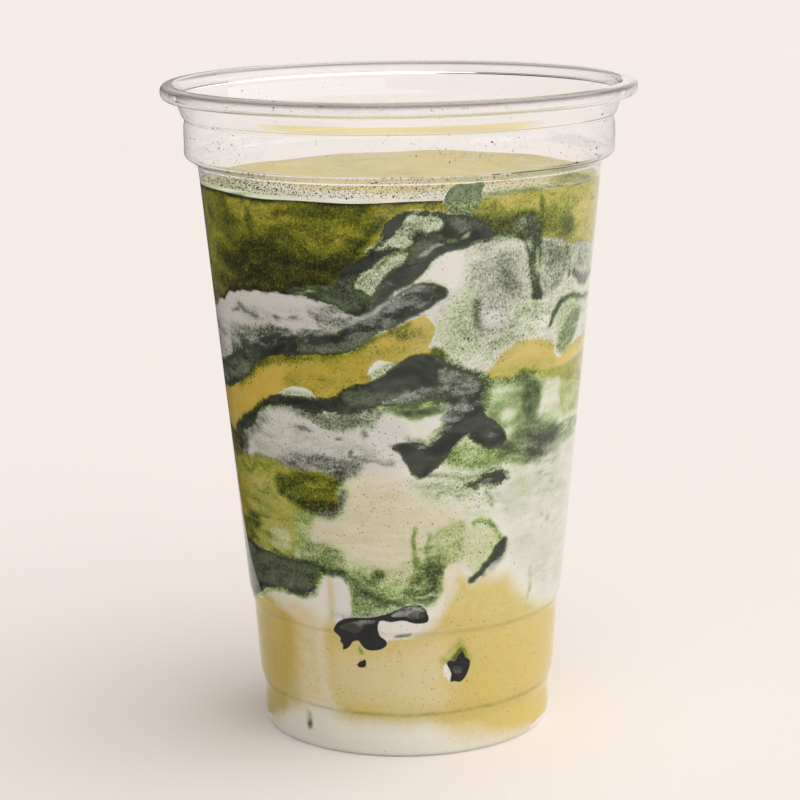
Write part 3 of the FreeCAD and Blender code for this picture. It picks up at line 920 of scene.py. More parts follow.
def middle_yellow(lay: Lay) -> None:
    """The mustard ribbon across the middle, and the grit and milk on its edges."""
    lay({GRIT: 0.85, POWDER: 0.22}, (-38, 80.2), (-26, 81), (-14, 81.5), (-6, 84), (-8, 81), (-16, 78.5), (-28, 77),
        (-38, 77.5), soft=0.8)
    lay({GRIT: 0.3, POWDER: 0.2}, (-34, 82), (-14, 87), (6, 91), (7, 87), (-14, 81), (-34, 78), soft=3)
    lay(CREAM, (-41, 75.9), (-38, 77.2), (-35, 77.9), (-31, 78.1), (-28.5, 77.2), (-31, 76.1), (-36, 75.8),
        wobble=0.8)
    lay({POWDER: 0.3, GRIT: 0.8}, (-41, 75.4), (-35, 77), (-28, 77), (-30, 75.5), soft=0.6)
    lay(CREAM, (-9.5, 82), (-8.5, 83.8), (-6.5, 84.9), (-4.5, 84.7), (-2, 84.3), (-2.5, 83), (-6, 81.6), wobble=0.8)
    lay({POWDER: 0.35, LEAF: 0.2, GRIT: 0.9}, (-10, 81.2), (-7, 82.9), (-3, 84), (-1, 84.2), (-5, 81.5), soft=0.6)
    lay({POWDER: 0.4, GRIT: 1}, *spot(1.5, 90.3, 2.2, 1.1), soft=0.8)
    lay({GRIT: 0.7}, (-12, 89), (7, 92), (7, 88), (-8, 85.5), soft=0.8)


def middle_white(lay: Lay) -> None:
    """The pale ground of the whole middle."""
    lay(CREAM, (-66, 62), (-58, 68.3), (-50, 72), (-44, 73.7), (-30, 73.5), (-15, 75), (-5, 75.5), (5, 77),
        (15, 79.5), (22, 78), (26, 79.6), (35, 80.2), (43, 79.8), (47, 78), (55, 77), (65, 75.5), (80, 74), (106, 73),
        (108, 26), (80, 26), (70, 27.3), (62, 28.3), (54, 29.5), (48, 31.5), (42, 34.5), (38, 38), (33, 38.3),
        (24, 37.8), (20, 39), (16, 40), (14, 35), (12, 31), (8, 29), (4, 27), (-2, 26), (-8, 26.5), (-10, 30),
        (-18, 31), (-20, 38), (-31, 38.5), (-34, 35), (-38, 33.5), (-47, 33.8), (-54, 34.3), (-60, 33.3), (-66, 31))


def dark_swirl(lay: Lay) -> None:
    """The dark line that thickens into the swirl at the middle, its curl and the wedge beside it."""
    lay(CHARCOAL, (-68, 66.3, 1), (-62, 68, 1.2), (-56, 70.3, 1.1), (-50, 73.2, 0.8), (-44, 74.6, 0.7),
        (-36, 74.8, 0.9), (-28, 75, 1.2), (-18, 76, 1.6), (-10, 77.8, 2), wobble=0.5)
    lay(CHARCOAL, (-20, 77.5), (-13, 79.5), (-6, 81.3), (-1, 83.6), (3.5, 85.4), (8.5, 85.5), (12, 84.4), (16, 82.8),
        (21, 81.3), (25, 79.6), (26.2, 77.4), (24.6, 75.4), (18, 74.8), (8, 75.6), (0, 75.8), (-8, 75), (-16, 74.2),
        wobble=0.4)
    lay(CHARCOAL, (14, 75.3), (24.4, 75.6), (26, 73), (23, 70.6), (19.5, 68.6), (15, 66), (10.5, 63.2), (6, 60.4),
        (3.5, 61), (1, 63.4), (-0.8, 65.4), (-2.6, 66.9), (2, 67.5), (8, 67.2), (12, 69.3), (14, 72), wobble=0.35)
    lay(CHARCOAL, (24.5, 72.5), (29, 70.8), (32, 69), (34.2, 67), (31, 65.7), (25.5, 66.1), (21, 68.2), (22.5, 70.3),
        wobble=0.3)
    lay({DUST: 1}, (11, 86), (20, 84), (28, 80), (28, 74), (22, 74), (12, 78), soft=1)
    lay({DUST: 0.8}, (-24, 75.5, 1.8), (-12, 74.5, 1.8), (0, 75, 2), (12, 75, 2), soft=1)
    lay({DUST: 0.7}, (2, 68.5, 1.2), (9, 68.5, 1.2), (13, 71, 1.2), (15, 74, 1), soft=0.8)
    lay({DUST: 0.7}, (-66, 67, 1.5), (-56, 69.5, 1.5), (-50, 72.5, 1.2), soft=0.8)
    lay({MILK: 0.9}, (20, 68, 0.15), (22.3, 70, 0.3), (24.3, 71.8, 0.15), soft=0.25, wobble=0.3)
    lay({HAZE: 0.4, LEAF: 0.7}, (10, 83), (16, 82.3), (22, 80.8), (25, 78), (20, 76.5), (12, 77.5), soft=1,
        streak=0.3)
    lay({HAZE: 0.65}, (-6, 75.8, 0.5), (0, 76.8, 0.8), (6, 77.8, 1), (12, 78, 0.9), soft=0.8, streak=0.6)
    lay({LEAF: 0.8}, (-18, 78.5), (-4, 78), (10, 79), (12, 75), (0, 75), (-16, 75.5), soft=1)
    lay({HAZE: 0.6}, (11, 76), (20, 76), (22, 73.8), (14, 73), (10, 74), soft=0.8, streak=0.5)
    lay({HAZE: 0.5}, (8, 70.5), (14, 74), (20, 72.8), (14, 69.5), soft=1, streak=0.6)
    lay({HAZE: 0.4}, (0, 66.4, 0.4), (5, 66.3, 0.6), (10, 67, 0.8), soft=0.5, streak=0.6)
    lay({HAZE: 0.25}, (26, 68), (31, 69), (32, 67.3), (27, 66.8), soft=0.8)
    lay(CREAM, (14.5, 74.4, 0.2), (16.5, 73.6, 0.35), (19, 73, 0.2), wobble=0.5)
    lay({POWDER: 0.85, LEAF: 0.4}, (7.5, 85), (8.5, 87.2), (11, 87), (13.5, 84.8), (12, 83.5), (9, 84), soft=0.6)


def middle_white_clouds(lay: Lay) -> None:
    """Grey wisps and powder on the pale ground, left of the swirl."""
    lay({LILAC: 0.5, GRIT: 0.4}, (-66, 60), (-50, 72), (-15, 75), (2, 70), (0, 62), (-40, 60), soft=1)
    lay({POWDER: 0.26}, (-62, 62), (-56, 68), (-48, 71), (-30, 70), (-12, 68), (-12, 62), (-40, 61.5), soft=2,
        streak=0.6)
    lay({POWDER: 0.05}, (-47, 70.5), (-44, 73), (-39, 73.2), (-39, 71), (-44, 69.8), soft=0.8)
    lay({POWDER: 0.05}, (-8, 71.5), (2, 71.8), (10, 71), (9, 68.6), (0, 68.2), (-6, 69), soft=1)
    lay({POWDER: 0.62, LEAF: 0.2, GRIT: 0.9}, (-50, 73.4, 0.6), (-44, 73.6, 0.6), (-38, 73.4, 0.8), (-28, 72.8, 1),
        (-20, 72.6, 1.4), (-12, 73.4, 1.4), (-4, 74.4, 1), soft=1)
    lay({POWDER: 0.5, LEAF: 0.3, GRIT: 1}, (-28, 73.5), (-16, 74), (-8, 73.5), (-10, 70.6), (-20, 70.4), (-27, 71),
        soft=1)
    lay({POWDER: 0.75, LEAF: 0.2}, (-6, 74.8), (4, 74.8), (12, 75), (13, 73.4), (8, 72.4), (3, 72.2), (-2, 73.2),
        soft=0.9)
    lay({POWDER: 0.72}, *spot(-33, 69.4, 2.2, 0.6), soft=0.5, streak=0.5)
    lay({POWDER: 0.8}, *spot(-21, 68.6, 0.7, 0.4), soft=0.4)
    lay({POWDER: 0.82}, *spot(-17, 65.8, 0.6, 0.7), soft=0.4)
    lay({POWDER: 0.7}, (-16, 65, 0.3), (-11, 63.9, 0.4), (-4, 63.1, 0.4), soft=0.5)
    lay({POWDER: 0.6, LEAF: 0.3}, *spot(-12.5, 69, 0.8, 0.9), soft=0.7)
    lay({POWDER: 0.66, LILAC: 0.7, GRIT: 0.9}, (-42, 64.5), (-30, 65), (-20, 64.8), (-14, 63.5), (-16, 61),
        (-28, 60.5), (-42, 61.5), soft=1.2, streak=0.5)
    lay({POWDER: 0.84}, (-36, 60.6, 0.4), (-30, 60.4, 0.7), (-24, 60.9, 0.7), (-19, 61.6, 0.4), soft=0.7)
    lay({POWDER: 0.6}, (-66, 66), (-60, 69), (-52, 72.3), (-48, 71), (-53, 67.5), (-58, 65), (-64, 63), soft=1.2,
        streak=0.5)
    lay({POWDER: 0.84, LILAC: 0.4}, (-106, 66), (-80, 65), (-70, 66), (-63, 67), (-60, 63.5), (-63, 60), (-70, 57.5),
        (-80, 56.5), (-106, 57), soft=1.2, streak=0.3)


def green_arc(lay: Lay) -> None:
    """The green ring under the yellow arch, and the pale and dark greens round it."""
    lay({POWDER: 0.66, LEAF: 0.5, GRIT: 1}, (23, 80.3, 0.5), (29, 80.3, 1.2), (35, 80.2, 1.3), (41, 80.5, 1.2),
        (46, 79.6, 0.9), soft=1.3)
    lay({POWDER: 0.14, LEAF: 0.4}, (28, 82), (40, 83.4), (52, 82.8), (53, 80.5), (40, 80.5), (28, 80.3), soft=1)
    lay({POWDER: 0.52, LEAF: 0.2}, (24, 80), (34, 80), (44, 79.5), (48, 77), (46, 72), (40, 70), (32, 69), (27, 71.5),
        (25, 75), soft=1)
    lay({POWDER: 0.24}, (26, 78.3), (31, 78.9), (35, 77.6), (33, 75.6), (27, 75.2), (25, 76), soft=0.9, streak=0.3)
    lay({POWDER: 0.08}, (32, 73.2), (35, 73.4), (37, 72), (36, 70.6), (32.5, 70.6), (31.5, 71.5), soft=1.4)
    lay({POWDER: 0.84, LEAF: 0.2}, (36, 79.4), (41, 79.2), (46, 77.5), (47, 73.5), (45, 69), (41, 68.5), (39.5, 72),
        (39, 76), soft=1.1, streak=0.3)
    lay({POWDER: 0.3, STRAW: 0.5, LEAF: 0.3}, (44, 80), (56, 79.5), (75, 80.5), (106, 79), (106, 75), (70, 75.6),
        (52, 76.8), (46, 77), soft=0.8)
    lay({POWDER: 0.26, LEAF: 0.2}, (47, 77), (54, 76.6), (60, 73), (60, 69), (53, 68.5), (48, 71), soft=1, streak=0.6)
    lay({POWDER: 0.34, STRAW: 0.45, LEAF: 0.3}, (58, 77.6), (80, 76), (106, 75), (106, 67), (80, 68), (66, 68.4),
        (60, 70), soft=1)


def dark_green_bands(lay: Lay) -> None:
    """The dark green and grey bands right of the swirl, and the leaf shape under it."""
    lay({POWDER: 0.76, LEAF: 0.15, GRIT: 0.2}, (24, 66), (34, 67.5), (40, 70.6), (48, 69.6), (60, 67.6), (61, 62),
        (58, 57), (53, 57), (47, 59.5), (38, 61), (28, 62), soft=2, streak=0.25)
    lay({POWDER: 0.8, LILAC: 0.4}, (43, 66), (52, 66.6), (59, 66), (60, 61), (57, 55), (52, 57), (46, 61.5), soft=3,
        streak=0.3)
    lay({POWDER: 0.64}, (60, 67.5), (70, 67.3), (106, 65.5), (106, 62), (75, 62.5), (60, 62.5), soft=0.8, streak=0.4)
    lay({POWDER: 0.26, LEAF: 0.4}, (39, 60), (46, 59.5), (46, 54), (43, 50), (39, 54), soft=2)
    lay({POWDER: 0.5, LEAF: 0.4, GRIT: 0.9}, (13, 66), (18, 68), (24, 67), (31, 65.5), (31, 62.3), (20, 62),
        (12, 63.6), soft=1.8)
    lay({POWDER: 0.66, LEAF: 0.3}, (60, 63, 1), (60, 58, 1.2), (58, 53, 0.5), soft=1.2, streak=0.4)
    lay({POWDER: 0.7}, *spot(58, 48, 1, 1.2), soft=0.6)
    lay({MILK: 0.75}, (8, 62.7, 0.4), (12, 63.3, 0.6), (17, 62.6, 0.4), soft=0.5, streak=0.3)
    lay({POWDER: 0.7, GRIT: 1}, (5, 61, 0.4), (12, 60.9, 0.5), (20, 60.2, 0.6), (28, 61, 0.3), soft=0.7, streak=0.5)
    lay(CHARCOAL, (21, 58.6), (25, 59.6), (29, 60.6), (33, 60.4), (36, 58.7), (31, 57.8), (27, 58.3), (23, 58.1),
        wobble=0.4)
    lay({DUST: 0.8}, (18, 59), (28, 61.5), (37, 60), (30, 57), soft=1)
    lay({HAZE: 0.4}, (22, 58.5), (27, 60), (30, 59), (26, 58), soft=0.5)
    lay({POWDER: 0.83}, *spot(11.5, 57, 0.5, 0.6), soft=0.3)
    lay({POWDER: 0.7}, *spot(17.5, 56.5, 0.9, 0.3), soft=0.3)
    lay({POWDER: 0.6}, (27, 57, 0.5), (28.5, 55.5, 0.7), (29.5, 53.6, 0.4), soft=0.5)
    lay({POWDER: 0.3}, (2, 59.6), (20, 59.5), (24, 57), (20, 55), (6, 55.6), soft=1.2, streak=0.7)
    lay({GRIT: 0.7}, (4, 61), (36, 62), (30, 54), (4, 55), soft=1)


def beige_heart(lay: Lay) -> None:
    """The warm heart of the middle, with green threads, the pale disc and the dark crescent under it."""
    lay({STRAW: 0.36}, (-20, 60), (-5, 61), (5, 56), (20, 53), (20, 40), (10, 36), (-5, 38), (-18, 40), (-30, 44),
        (-38, 48), (-36, 52), (-24, 52), soft=3)
    lay({POWDER: 0.08}, (-20, 58), (-5, 60), (5, 56), (20, 53), (18, 42), (-5, 40), (-28, 44), (-30, 50), soft=3,
        streak=0.8)
    lay({GRIT: 0.2}, (-30, 58), (-5, 61), (20, 55), (20, 40), (-20, 40), (-36, 48), soft=2)
    lay({POWDER: 0.32, LEAF: 0.3, STRAW: 0.3, GRIT: 0.6}, (-34, 45), (-20, 43), (-8, 42), (4, 44.5), (12, 49),
        (20, 50.5), (20, 42), (10, 40), (-8, 37.5), (-20, 39), (-34, 40.5), soft=1.6, streak=0.4)
    lay({POWDER: 0.56, LEAF: 0.4}, (3, 50, 0.3), (2.6, 46, 0.5), (4, 42, 0.9), soft=0.6)
    lay({POWDER: 0.6, LEAF: 0.2}, (8.6, 48.5, 0.2), (7.6, 45, 0.3), (9, 41.5, 0.7), (10, 38, 1), soft=0.6)
    lay({POWDER: 0.32, LEAF: 0.4, GRIT: 0.8}, (13, 49), (20, 50), (21, 44.5), (16, 43), (12, 44), soft=1.6,
        streak=0.8)
    lay({POWDER: 0.78, LEAF: 0.3, GRIT: 1}, (0, 39), (6, 42), (10, 43.5), (14, 41.5), (13, 36), (10, 33), (3, 33.3),
        (-2, 36), soft=1.2, streak=0.4)
    lay({POWDER: 0.84, GRIT: 1}, (-12, 40), (-9, 41), (-7, 39.5), (-8, 38), (-11, 38.5), soft=0.6)
    lay({POWDER: 0.45, LEAF: 0.2, GRIT: 0.8}, (-36, 45), (-30, 46), (-22, 44.5), (-22, 40.5), (-34, 40.5), soft=1)
    lay({POWDER: 0.6}, (-38, 50, 0.5), (-37.5, 45, 0.7), (-37, 41, 0.9), soft=0.8)
    lay({STRAW: 0.3, POWDER: 0.13, LEAF: 0.4, GRIT: 0.5}, (20, 44), (25, 38.6), (31, 41.5), (34, 46), (30, 49.6),
        (22, 49.5), soft=0.8)
    lay({POWDER: 0.5, LEAF: 0.5, GRIT: 0.9}, (23, 50.6, 0.6), (27, 50.8, 0.6), (31, 49, 0.6), (33.5, 46.5, 0.8),
        soft=0.6)
    lay(CHARCOAL, (23.2, 37.9, 0.3), (27, 39.2, 0.4), (31, 41.7, 0.6), (34, 44, 1), (35.2, 45.4, 0.8), wobble=0.3,
        part=Part.FRONT)
    lay({DUST: 0.35}, (28, 39, 1), (36, 44, 1.6), soft=1)
    lay({POWDER: 0.6, LILAC: 0.7}, (26, 38, 0.3), (31, 40.5, 0.9), (35.3, 43.2, 1.1), (36.7, 45.4, 0.5), soft=0.9)
    lay({POWDER: 0.33, LEAF: 0.2}, (48.3, 48, 0.3), (48.8, 41, 0.5), (48.7, 35, 0.6), (48.8, 31.5, 0.5), soft=0.6)
    lay({POWDER: 0.84}, *spot(54, 49, 0.7, 0.9), soft=0.5)
    lay({POWDER: 0.8}, *spot(54.3, 45.8, 0.5, 0.7), soft=0.5)
    lay({POWDER: 0.42}, (60, 54, 0.6), (70, 51, 0.8), (84, 49, 0.8), (106, 47, 0.8), soft=0.8, streak=0.5)


def left_lower(lay: Lay) -> None:
    """The yellow pool low on the left, with its dark green drop."""
    lay(MUSTARD, (-106, 57), (-80, 57), (-66, 60.5), (-50, 61.5), (-38, 61.5), (-24, 61), (-22, 58), (-24, 54),
        (-36, 51.6), (-38, 48), (-40, 42), (-50, 41), (-60, 41.5), (-75, 42.5), (-106, 43))
    lay({POWDER: 0.34, LEAF: 0.5, GRIT: 0.5}, (-106, 57), (-66, 60.5), (-38, 61.5), (-21, 60), (-30, 52), (-40, 42),
        (-75, 42), (-106, 43), soft=1, streak=0.3)
    lay({POWDER: 0.5, LEAF: 0.4}, (-70, 60.5, 0.3), (-60, 61, 0.5), (-50, 61.7, 0.6), (-40, 61.5, 0.5), soft=0.6)
    lay({POWDER: 0.18, LEAF: 0.3, STRAW: 0.5}, (-55, 55), (-46, 56), (-40, 53), (-39, 47), (-50, 45), (-56, 49),
        soft=1.5, streak=0.3)
    lay({MILK: 0.6}, (-53, 46), (-48, 47.6), (-43, 46.3), (-42, 43.5), (-47, 42.3), (-53, 43), soft=0.9)
    lay({POWDER: 0.74, GRIT: 0.6}, (-106, 49), (-76, 47), (-66, 48.6), (-58, 49.4), (-52, 49.2), (-58, 47.5),
        (-64, 44), (-72, 42), (-106, 42), soft=1.2, streak=0.6)
    lay({POWDER: 0.78, LEAF: 0.45, GRIT: 1}, (-47, 58.5), (-38, 60.6), (-28, 60.6), (-20, 60.6), (-22, 57.5),
        (-30, 56), (-40, 56), (-46, 56.5), soft=1.2, streak=0.3)
    lay({POWDER: 0.4, LEAF: 0.3}, (-34, 58.6), (-28, 59), (-25, 57.8), (-31, 57.3), soft=0.6)
    lay({POWDER: 0.83, LILAC: 0.4, GRIT: 1}, (-45, 56, 0.5), (-38, 54.4, 1.2), (-30, 53.6, 1.9), (-24, 54.2, 1.8),
        (-21, 56, 0.9), (-19, 58, 0.4), soft=1.2)
    lay({HAZE: 0.55}, (-22, 53.6, 0.4), (-20.5, 56, 0.6), (-18.5, 58.5, 0.5), soft=0.6, streak=0.3)


def lower_band(lay: Lay) -> None:
    """The grey green band round the lower left, the pale tooth in it and the thread that leads right."""
    lay(CREAM, (-70, 30), (-60, 33.4), (-50, 35), (-34, 35), (-32, 38.8), (-20, 39.4), (-16, 31), (-22, 27.5),
        (-30, 29), (-36, 31.4), (-48, 31.8), (-58, 31.5), (-66, 29.4), wobble=0.6)
    lay(CHARCOAL, (-106, 41), (-80, 41), (-70, 42), (-60, 41.3), (-50, 41.2), (-40, 40.8), (-33, 40.4), (-31.4, 38.4),
        (-32.6, 36), (-36, 34.4), (-46, 34.5), (-53, 34.6), (-60, 33.2), (-68, 30.4), (-80, 27.8), (-106, 26),
        wobble=0.5)
    lay({HAZE: 0.15, LEAF: 1}, (-106, 40), (-70, 41), (-33, 40), (-33, 36), (-60, 34), (-80, 28), (-106, 27), soft=1,
        streak=0.3)
    lay({DUST: 0.8}, (-60, 35, 2), (-46, 35.4, 2), (-35, 36, 1.8), (-31, 39.5, 1.6), (-24, 40, 1.2), soft=1)
    lay({POWDER: 0.45, STRAW: 0.3, LEAF: 0.5}, (-80, 27, 0.4), (-68, 29.4, 0.5), (-60, 32, 0.4), (-54, 33.6, 0.2),
        soft=0.6)
    lay({POWDER: 0.62, LEAF: 0.3, GRIT: 1}, (-26, 39.9), (-20, 40.4), (-12, 40), (-4, 38), (3, 34.2), (2, 32.8),
        (-8, 31), (-14, 30.6), (-18.6, 31), (-19.6, 36), (-22.5, 38.3), (-30, 38.6), soft=0.8, streak=0.4)
    lay({POWDER: 0.3, LEAF: 0.5}, (-9, 39), (-3, 39.6), (0, 37.4), (-5, 36.2), soft=0.8)
    lay({POWDER: 0.82, GRIT: 0.8}, (-18.5, 38.6, 0.4), (-13, 36.6, 0.7), (-7, 35, 0.6), (-2, 33.8, 0.4), soft=0.7)
    lay({POWDER: 0.86, GRIT: 0.8}, (-52, 41.9, 0.3), (-44, 41.2, 0.5), (-36, 40.5, 0.6), (-28, 39.6, 0.8),
        (-21, 39.4, 0.6), soft=0.7)
    lay({LILAC: 0.35}, (-33, 34.5), (-30.5, 38), (-23, 38.3), (-20.3, 36), (-19.7, 31.5), (-27, 28.5), soft=0.6)
    lay({STRAW: 0.6}, (-27, 38, 0.6), (-27, 33, 0.8), (-27.5, 28, 0.9), soft=0.7, wobble=0.3)
    lay({MILK: 0.7}, (-58, 33), (-50, 34), (-40, 33.5), (-33, 34), (-31, 30), (-36, 27), (-45, 28.5), (-56, 31),
        soft=1.4)
    lay({MILK: 0.75}, (-33, 34, 2.2), (-33.5, 27, 1.2), (-33, 20, 1.4), (-32.5, 14, 2), (-31, 9, 3), soft=2)
    lay({MILK: 0.5}, (-44, 31), (-36, 31), (-33, 10), (-52, 8), (-45, 18), soft=4, streak=0.3)


def ink_pool(lay: Lay) -> None:
    """The crisp black pool low in the middle, with a painted grey highlight at each end."""
    front = partial(lay, wobble=0.15, part=Part.FRONT)
    lay(CREAM, (-10, 30.5), (0, 30.6), (7, 29.6), (10, 32), (13, 35), (14, 40), (17, 41.5), (20, 41), (18.5, 37.5),
        (15.5, 33.5), (12, 30.6), (9, 28.4), (4, 27.2), (-3, 26.6), (-6, 25.4), (-8, 24.4), (-10, 26),
        part=Part.FRONT)
    lay({STRAW: 0.3}, (15.5, 41), (20, 41), (18, 37), (14.5, 33), (13.8, 36), soft=0.8, part=Part.FRONT)
    front(INK, (-27, 27.4), (-24.4, 29.3), (-20, 30.4), (-12, 30.9), (-6, 31.9), (0, 33.4), (4.6, 33.6), (6.6, 32.4),
        (7.8, 31), (7.3, 29.8), (3, 29.6), (-1, 30.3), (-5, 30), (-9.4, 30), (-9.6, 27), (-7.2, 25.6), (-7.2, 24.5),
        (-10, 23.6), (-14, 23.5), (-16.2, 24.4), (-17.4, 25.3), (-19.6, 25.1), (-21.2, 23.8), (-23.8, 23),
        (-23.6, 24.2), (-24.8, 24.9), (-24.4, 25.6), (-26.2, 26.6))
    # Painted highlights: the gleams on the wet black pool, laid as charcoal islands with haze over them.
    front(CHARCOAL, (-24.6, 27.7), (-22, 28.9), (-17, 29.9), (-11.5, 30.2), (-10.6, 29.6), (-14.5, 29.1), (-16, 27.7),
        (-19, 27.1), (-21.5, 27.6))
    front(CHARCOAL, (-5.4, 31.2), (-2, 32.6), (2, 33.3), (5.4, 32.8), (6.4, 31.4), (5, 30.6), (1.5, 30.6),
        (-0.5, 31.1))
    lay({HAZE: 0.62, DUST: -0.25}, (-26, 30.5, 1), (-12, 31, 1), (4, 33, 1.2), soft=2, part=Part.FRONT)
    lay({POWDER: 0.53, LEAF: 0.3}, (-16.3, 24, 0.3), (-15.8, 22.6, 0.4), soft=0.3, part=Part.FRONT)
    front(INK, (-18.3, 19.8), (-17.2, 20.9), (-16, 21.1), (-15.3, 21.8), (-14.9, 20.2), (-16, 19.6))
    front({POWDER: 0.85}, (-3.8, 26.6, 0.2), (-1.5, 26.8, 0.3), (1.5, 27.1, 0.15), soft=0.3)


def ink_drop(lay: Lay) -> None:
    """The black drop right of the pool, with its pale crescent and green halo."""
    front = partial(lay, part=Part.FRONT)
    front({POWDER: 0.3, LEAF: 0.5, GRIT: 0.6}, (14, 22.5), (20, 25), (25, 22), (24, 20), (20, 19), (15, 20), soft=0.9)
    front(CREAM, (13.8, 19.5), (14.8, 20.4), (16.5, 18.6), (16.3, 16.6), (14.8, 17.2), (13.8, 18.2), wobble=0.2)
    front({POWDER: 0.85, LEAF: 0.4, GRIT: 1}, (17.6, 21), (19.6, 23.6), (22.6, 23.3), (23, 21), soft=0.6)
    front(INK, (14.9, 20.3), (16.3, 21), (18, 20.7), (19.3, 22), (21, 22.7), (22.2, 21.3), (24, 20.4), (23.6, 18.6),
        (22.2, 16.9), (20.3, 16), (18, 16.3), (16.4, 16.3), (16.6, 18.2), wobble=0.05)
    # Painted highlight: a grey gleam on the black drop, laid as charcoal with haze.
    front(CHARCOAL, (17.3, 19.4), (19, 19.5), (20.8, 19.1), (20.6, 18), (18.2, 17.9), wobble=0.1)
    front({HAZE: 0.45}, (17, 19, 0.5), (21, 18.6, 0.5), soft=1)


def foot(lay: Lay) -> None:
    """The mustard at the bottom with the pale base that shows through it, and painted shade lines at the wall's
    steps.
    """
    lay({POWDER: 0.1}, (-106, 26), (-68, 28), (-50, 30), (-50, 4), (-106, 2), soft=2)
    lay({MILK: 0.3, GRIT: 0.12}, (-26, 22), (-10, 23), (14, 26), (15, 12), (-4, 11), (-26, 14), soft=5)
    lay({GRIT: 0.12}, (-66, 24), (-40, 24), (24, 34), (60, 26), (60, 10), (-60, 10), soft=3)
    lay(CREAM, (-106, -3), (-106, 1), (-70, 3), (-54, 6.4), (-46, 8.2), (-40, 9.6), (-32, 10.4), (-28, 8), (-15, 7),
        (-5, 7.2), (6, 7.2), (12, 5.6), (20, 3.4), (35, 2.2), (50, 1.6), (75, 1.4), (106, 1), (106, -3), wobble=0.7)
    lay({MILK: 0.35}, (-66, 3), (-52, 7.8), (-38, 11), (-31, 12), (-27, 9), (-5, 8), (12, 7), (35, 4.2), (50, 1),
        (-60, 1), soft=1.2)
    lay({POWDER: 0.45, LILAC: 0.3}, (-43, 7, 0.4), (-42.5, 5.4, 0.8), (-42, 4.2, 0.5), soft=1, wobble=0.4)
    lay({POWDER: 0.8, LILAC: 0.3}, *spot(-42, 4.7, 0.5, 0.6), soft=0.7, wobble=0.4)
    # Painted shade: thin grey lines where the wall's steps are, at the front.
    lay({POWDER: 0.4, LILAC: 0.45}, (-106, 9.6, 0.25), (-60, 9.6, 0.2), (0, 9.3, 0.25), (60, 9.6, 0.25),
        (106, 9.6, 0.25), soft=0.5, wobble=0.2, part=Part.FRONT)
    lay({POWDER: 0.3, LILAC: 0.45}, (-106, 27, 0.2), (-60, 27, 0.2), (0, 27, 0.1), (60, 27, 0.25), (106, 27, 0.2),
        soft=0.5, wobble=0.2, part=Part.FRONT)


def behind(lay: Lay) -> None:
    """Marks of the back alone, over what the front's marks leave there."""
    back = partial(lay, part=Part.BACK)
    back(CHARCOAL, (118, 60, 0.4), (130, 63, 1.6), (144, 70, 2.6), (158, 72, 1.4), (170, 70, 0.4))
    back({HAZE: 0.6}, (128, 63, 0.5), (140, 69, 1.2), (154, 72.5, 0.6), soft=0.7, streak=0.6)
    back({POWDER: 0.53, LEAF: 0.3}, (118, 59, 0.4), (132, 61, 0.6), (148, 67, 0.6), (166, 68.5, 0.4), soft=0.4)
    back(CHARCOAL, (192, 92, 0.5), (204, 95, 1.5), (216, 101, 2.2), (230, 103, 1.4), (244, 101, 0.5))
    back({POWDER: 0.53, LEAF: 0.3}, (192, 91, 0.4), (206, 93.6, 0.6), (220, 98.8, 0.6), (240, 100, 0.4), soft=0.4)
    back(CREAM, (208, 99), (216, 103), (228, 105), (234, 104), (222, 101.5), (214, 98), wobble=0.7)
    back({GRIT: 0.6}, (190, 104), (240, 106), (244, 98), (206, 92), soft=1)
    back(INK, (142, 31), (148, 34), (157, 35.5), (166, 34), (170, 30.5), (163, 29), (158, 31), (152, 29), (145, 28.4),
        wobble=0.2)
    back({MILK: 0.6}, (206, 30, 1.6), (207, 22, 1.2), (205, 12, 2.4), soft=1.2)
    back({POWDER: 0.44, LEAF: 0.2}, (124, 88), (132, 91), (141, 89), (139, 85), (128, 84.5), soft=0.7)
    back({STRAW: 0.4}, (120, 46), (136, 50), (150, 47), (142, 41), (126, 41), soft=2)
    # Painted shade: the same thin grey lines at the wall's steps, behind.
    back({POWDER: 0.4, LILAC: 0.45}, (84, 9.6, 0.25), (180, 9.6, 0.25), (276, 9.6, 0.25), soft=0.5, wobble=0.2)
    back({POWDER: 0.3, LILAC: 0.45}, (84, 27, 0.2), (180, 27, 0.2), (276, 27, 0.2), soft=0.5, wobble=0.2)


def melting(lay: Lay) -> None:
    """Where cream and mustard run into each other, and the faint grey in the plain cream."""
    lay({MELT: 1}, (-62, 5, 5), (-40, 9.5, 5), (0, 7.5, 5), (16, 5.5, 5), (50, 3, 5), soft=1)
    lay({MELT: 1}, (17, 40, 2), (24, 38, 5), (40, 37, 5), (52, 31, 5), (66, 28.5, 5), (106, 26, 5), soft=1)
    lay({MELT: 0.8}, (-56, 31.5, 3), (-40, 31, 4), (-26, 28, 4), soft=1)
    lay({MELT: 0.5}, (4, 27.5, 3), (12, 31, 3), (18, 38, 3), soft=1)
    lay({MELT: 0.8}, (-36, 53, 4), (-38.5, 48, 4), (-40, 42.5, 3), soft=1)
    lay({MELT: 0.3}, (-58, 61, 2), (-40, 61.5, 2), (-22, 60.5, 2), (-20, 56, 2), soft=1)
    lay({MELT: 0.25}, (25, 81, 2), (33, 85.5, 2), (45, 87, 2), (52, 85.5, 2), soft=1)
    lay({POWDER: 0.15, LILAC: 0.35}, (38, 60), (106, 60), (106, 28), (60, 31), (44, 38), (38, 46), soft=3, streak=0.4)
    lay({POWDER: 0.24}, (20, 54.6), (30, 56), (38, 53.6), (34, 51.6), (22, 52), soft=1.4, streak=0.9)
    lay({POWDER: 0.28}, (50, 54.4, 0.7), (60, 53.4, 0.9), (72, 52.4, 0.5), soft=0.9, streak=0.6)


REGIONS = (     # in the order in which they are laid down
    stirred_in, olive_neck, upper_white, left_lilac, upper_dark, dark_streak, leaf_stem, middle_white, middle_yellow,
    dark_swirl, middle_white_clouds, green_arc, dark_green_bands, beige_heart, left_lower, lower_band,
    ink_pool, ink_drop, foot, melting, behind)


# ---- The drink ----

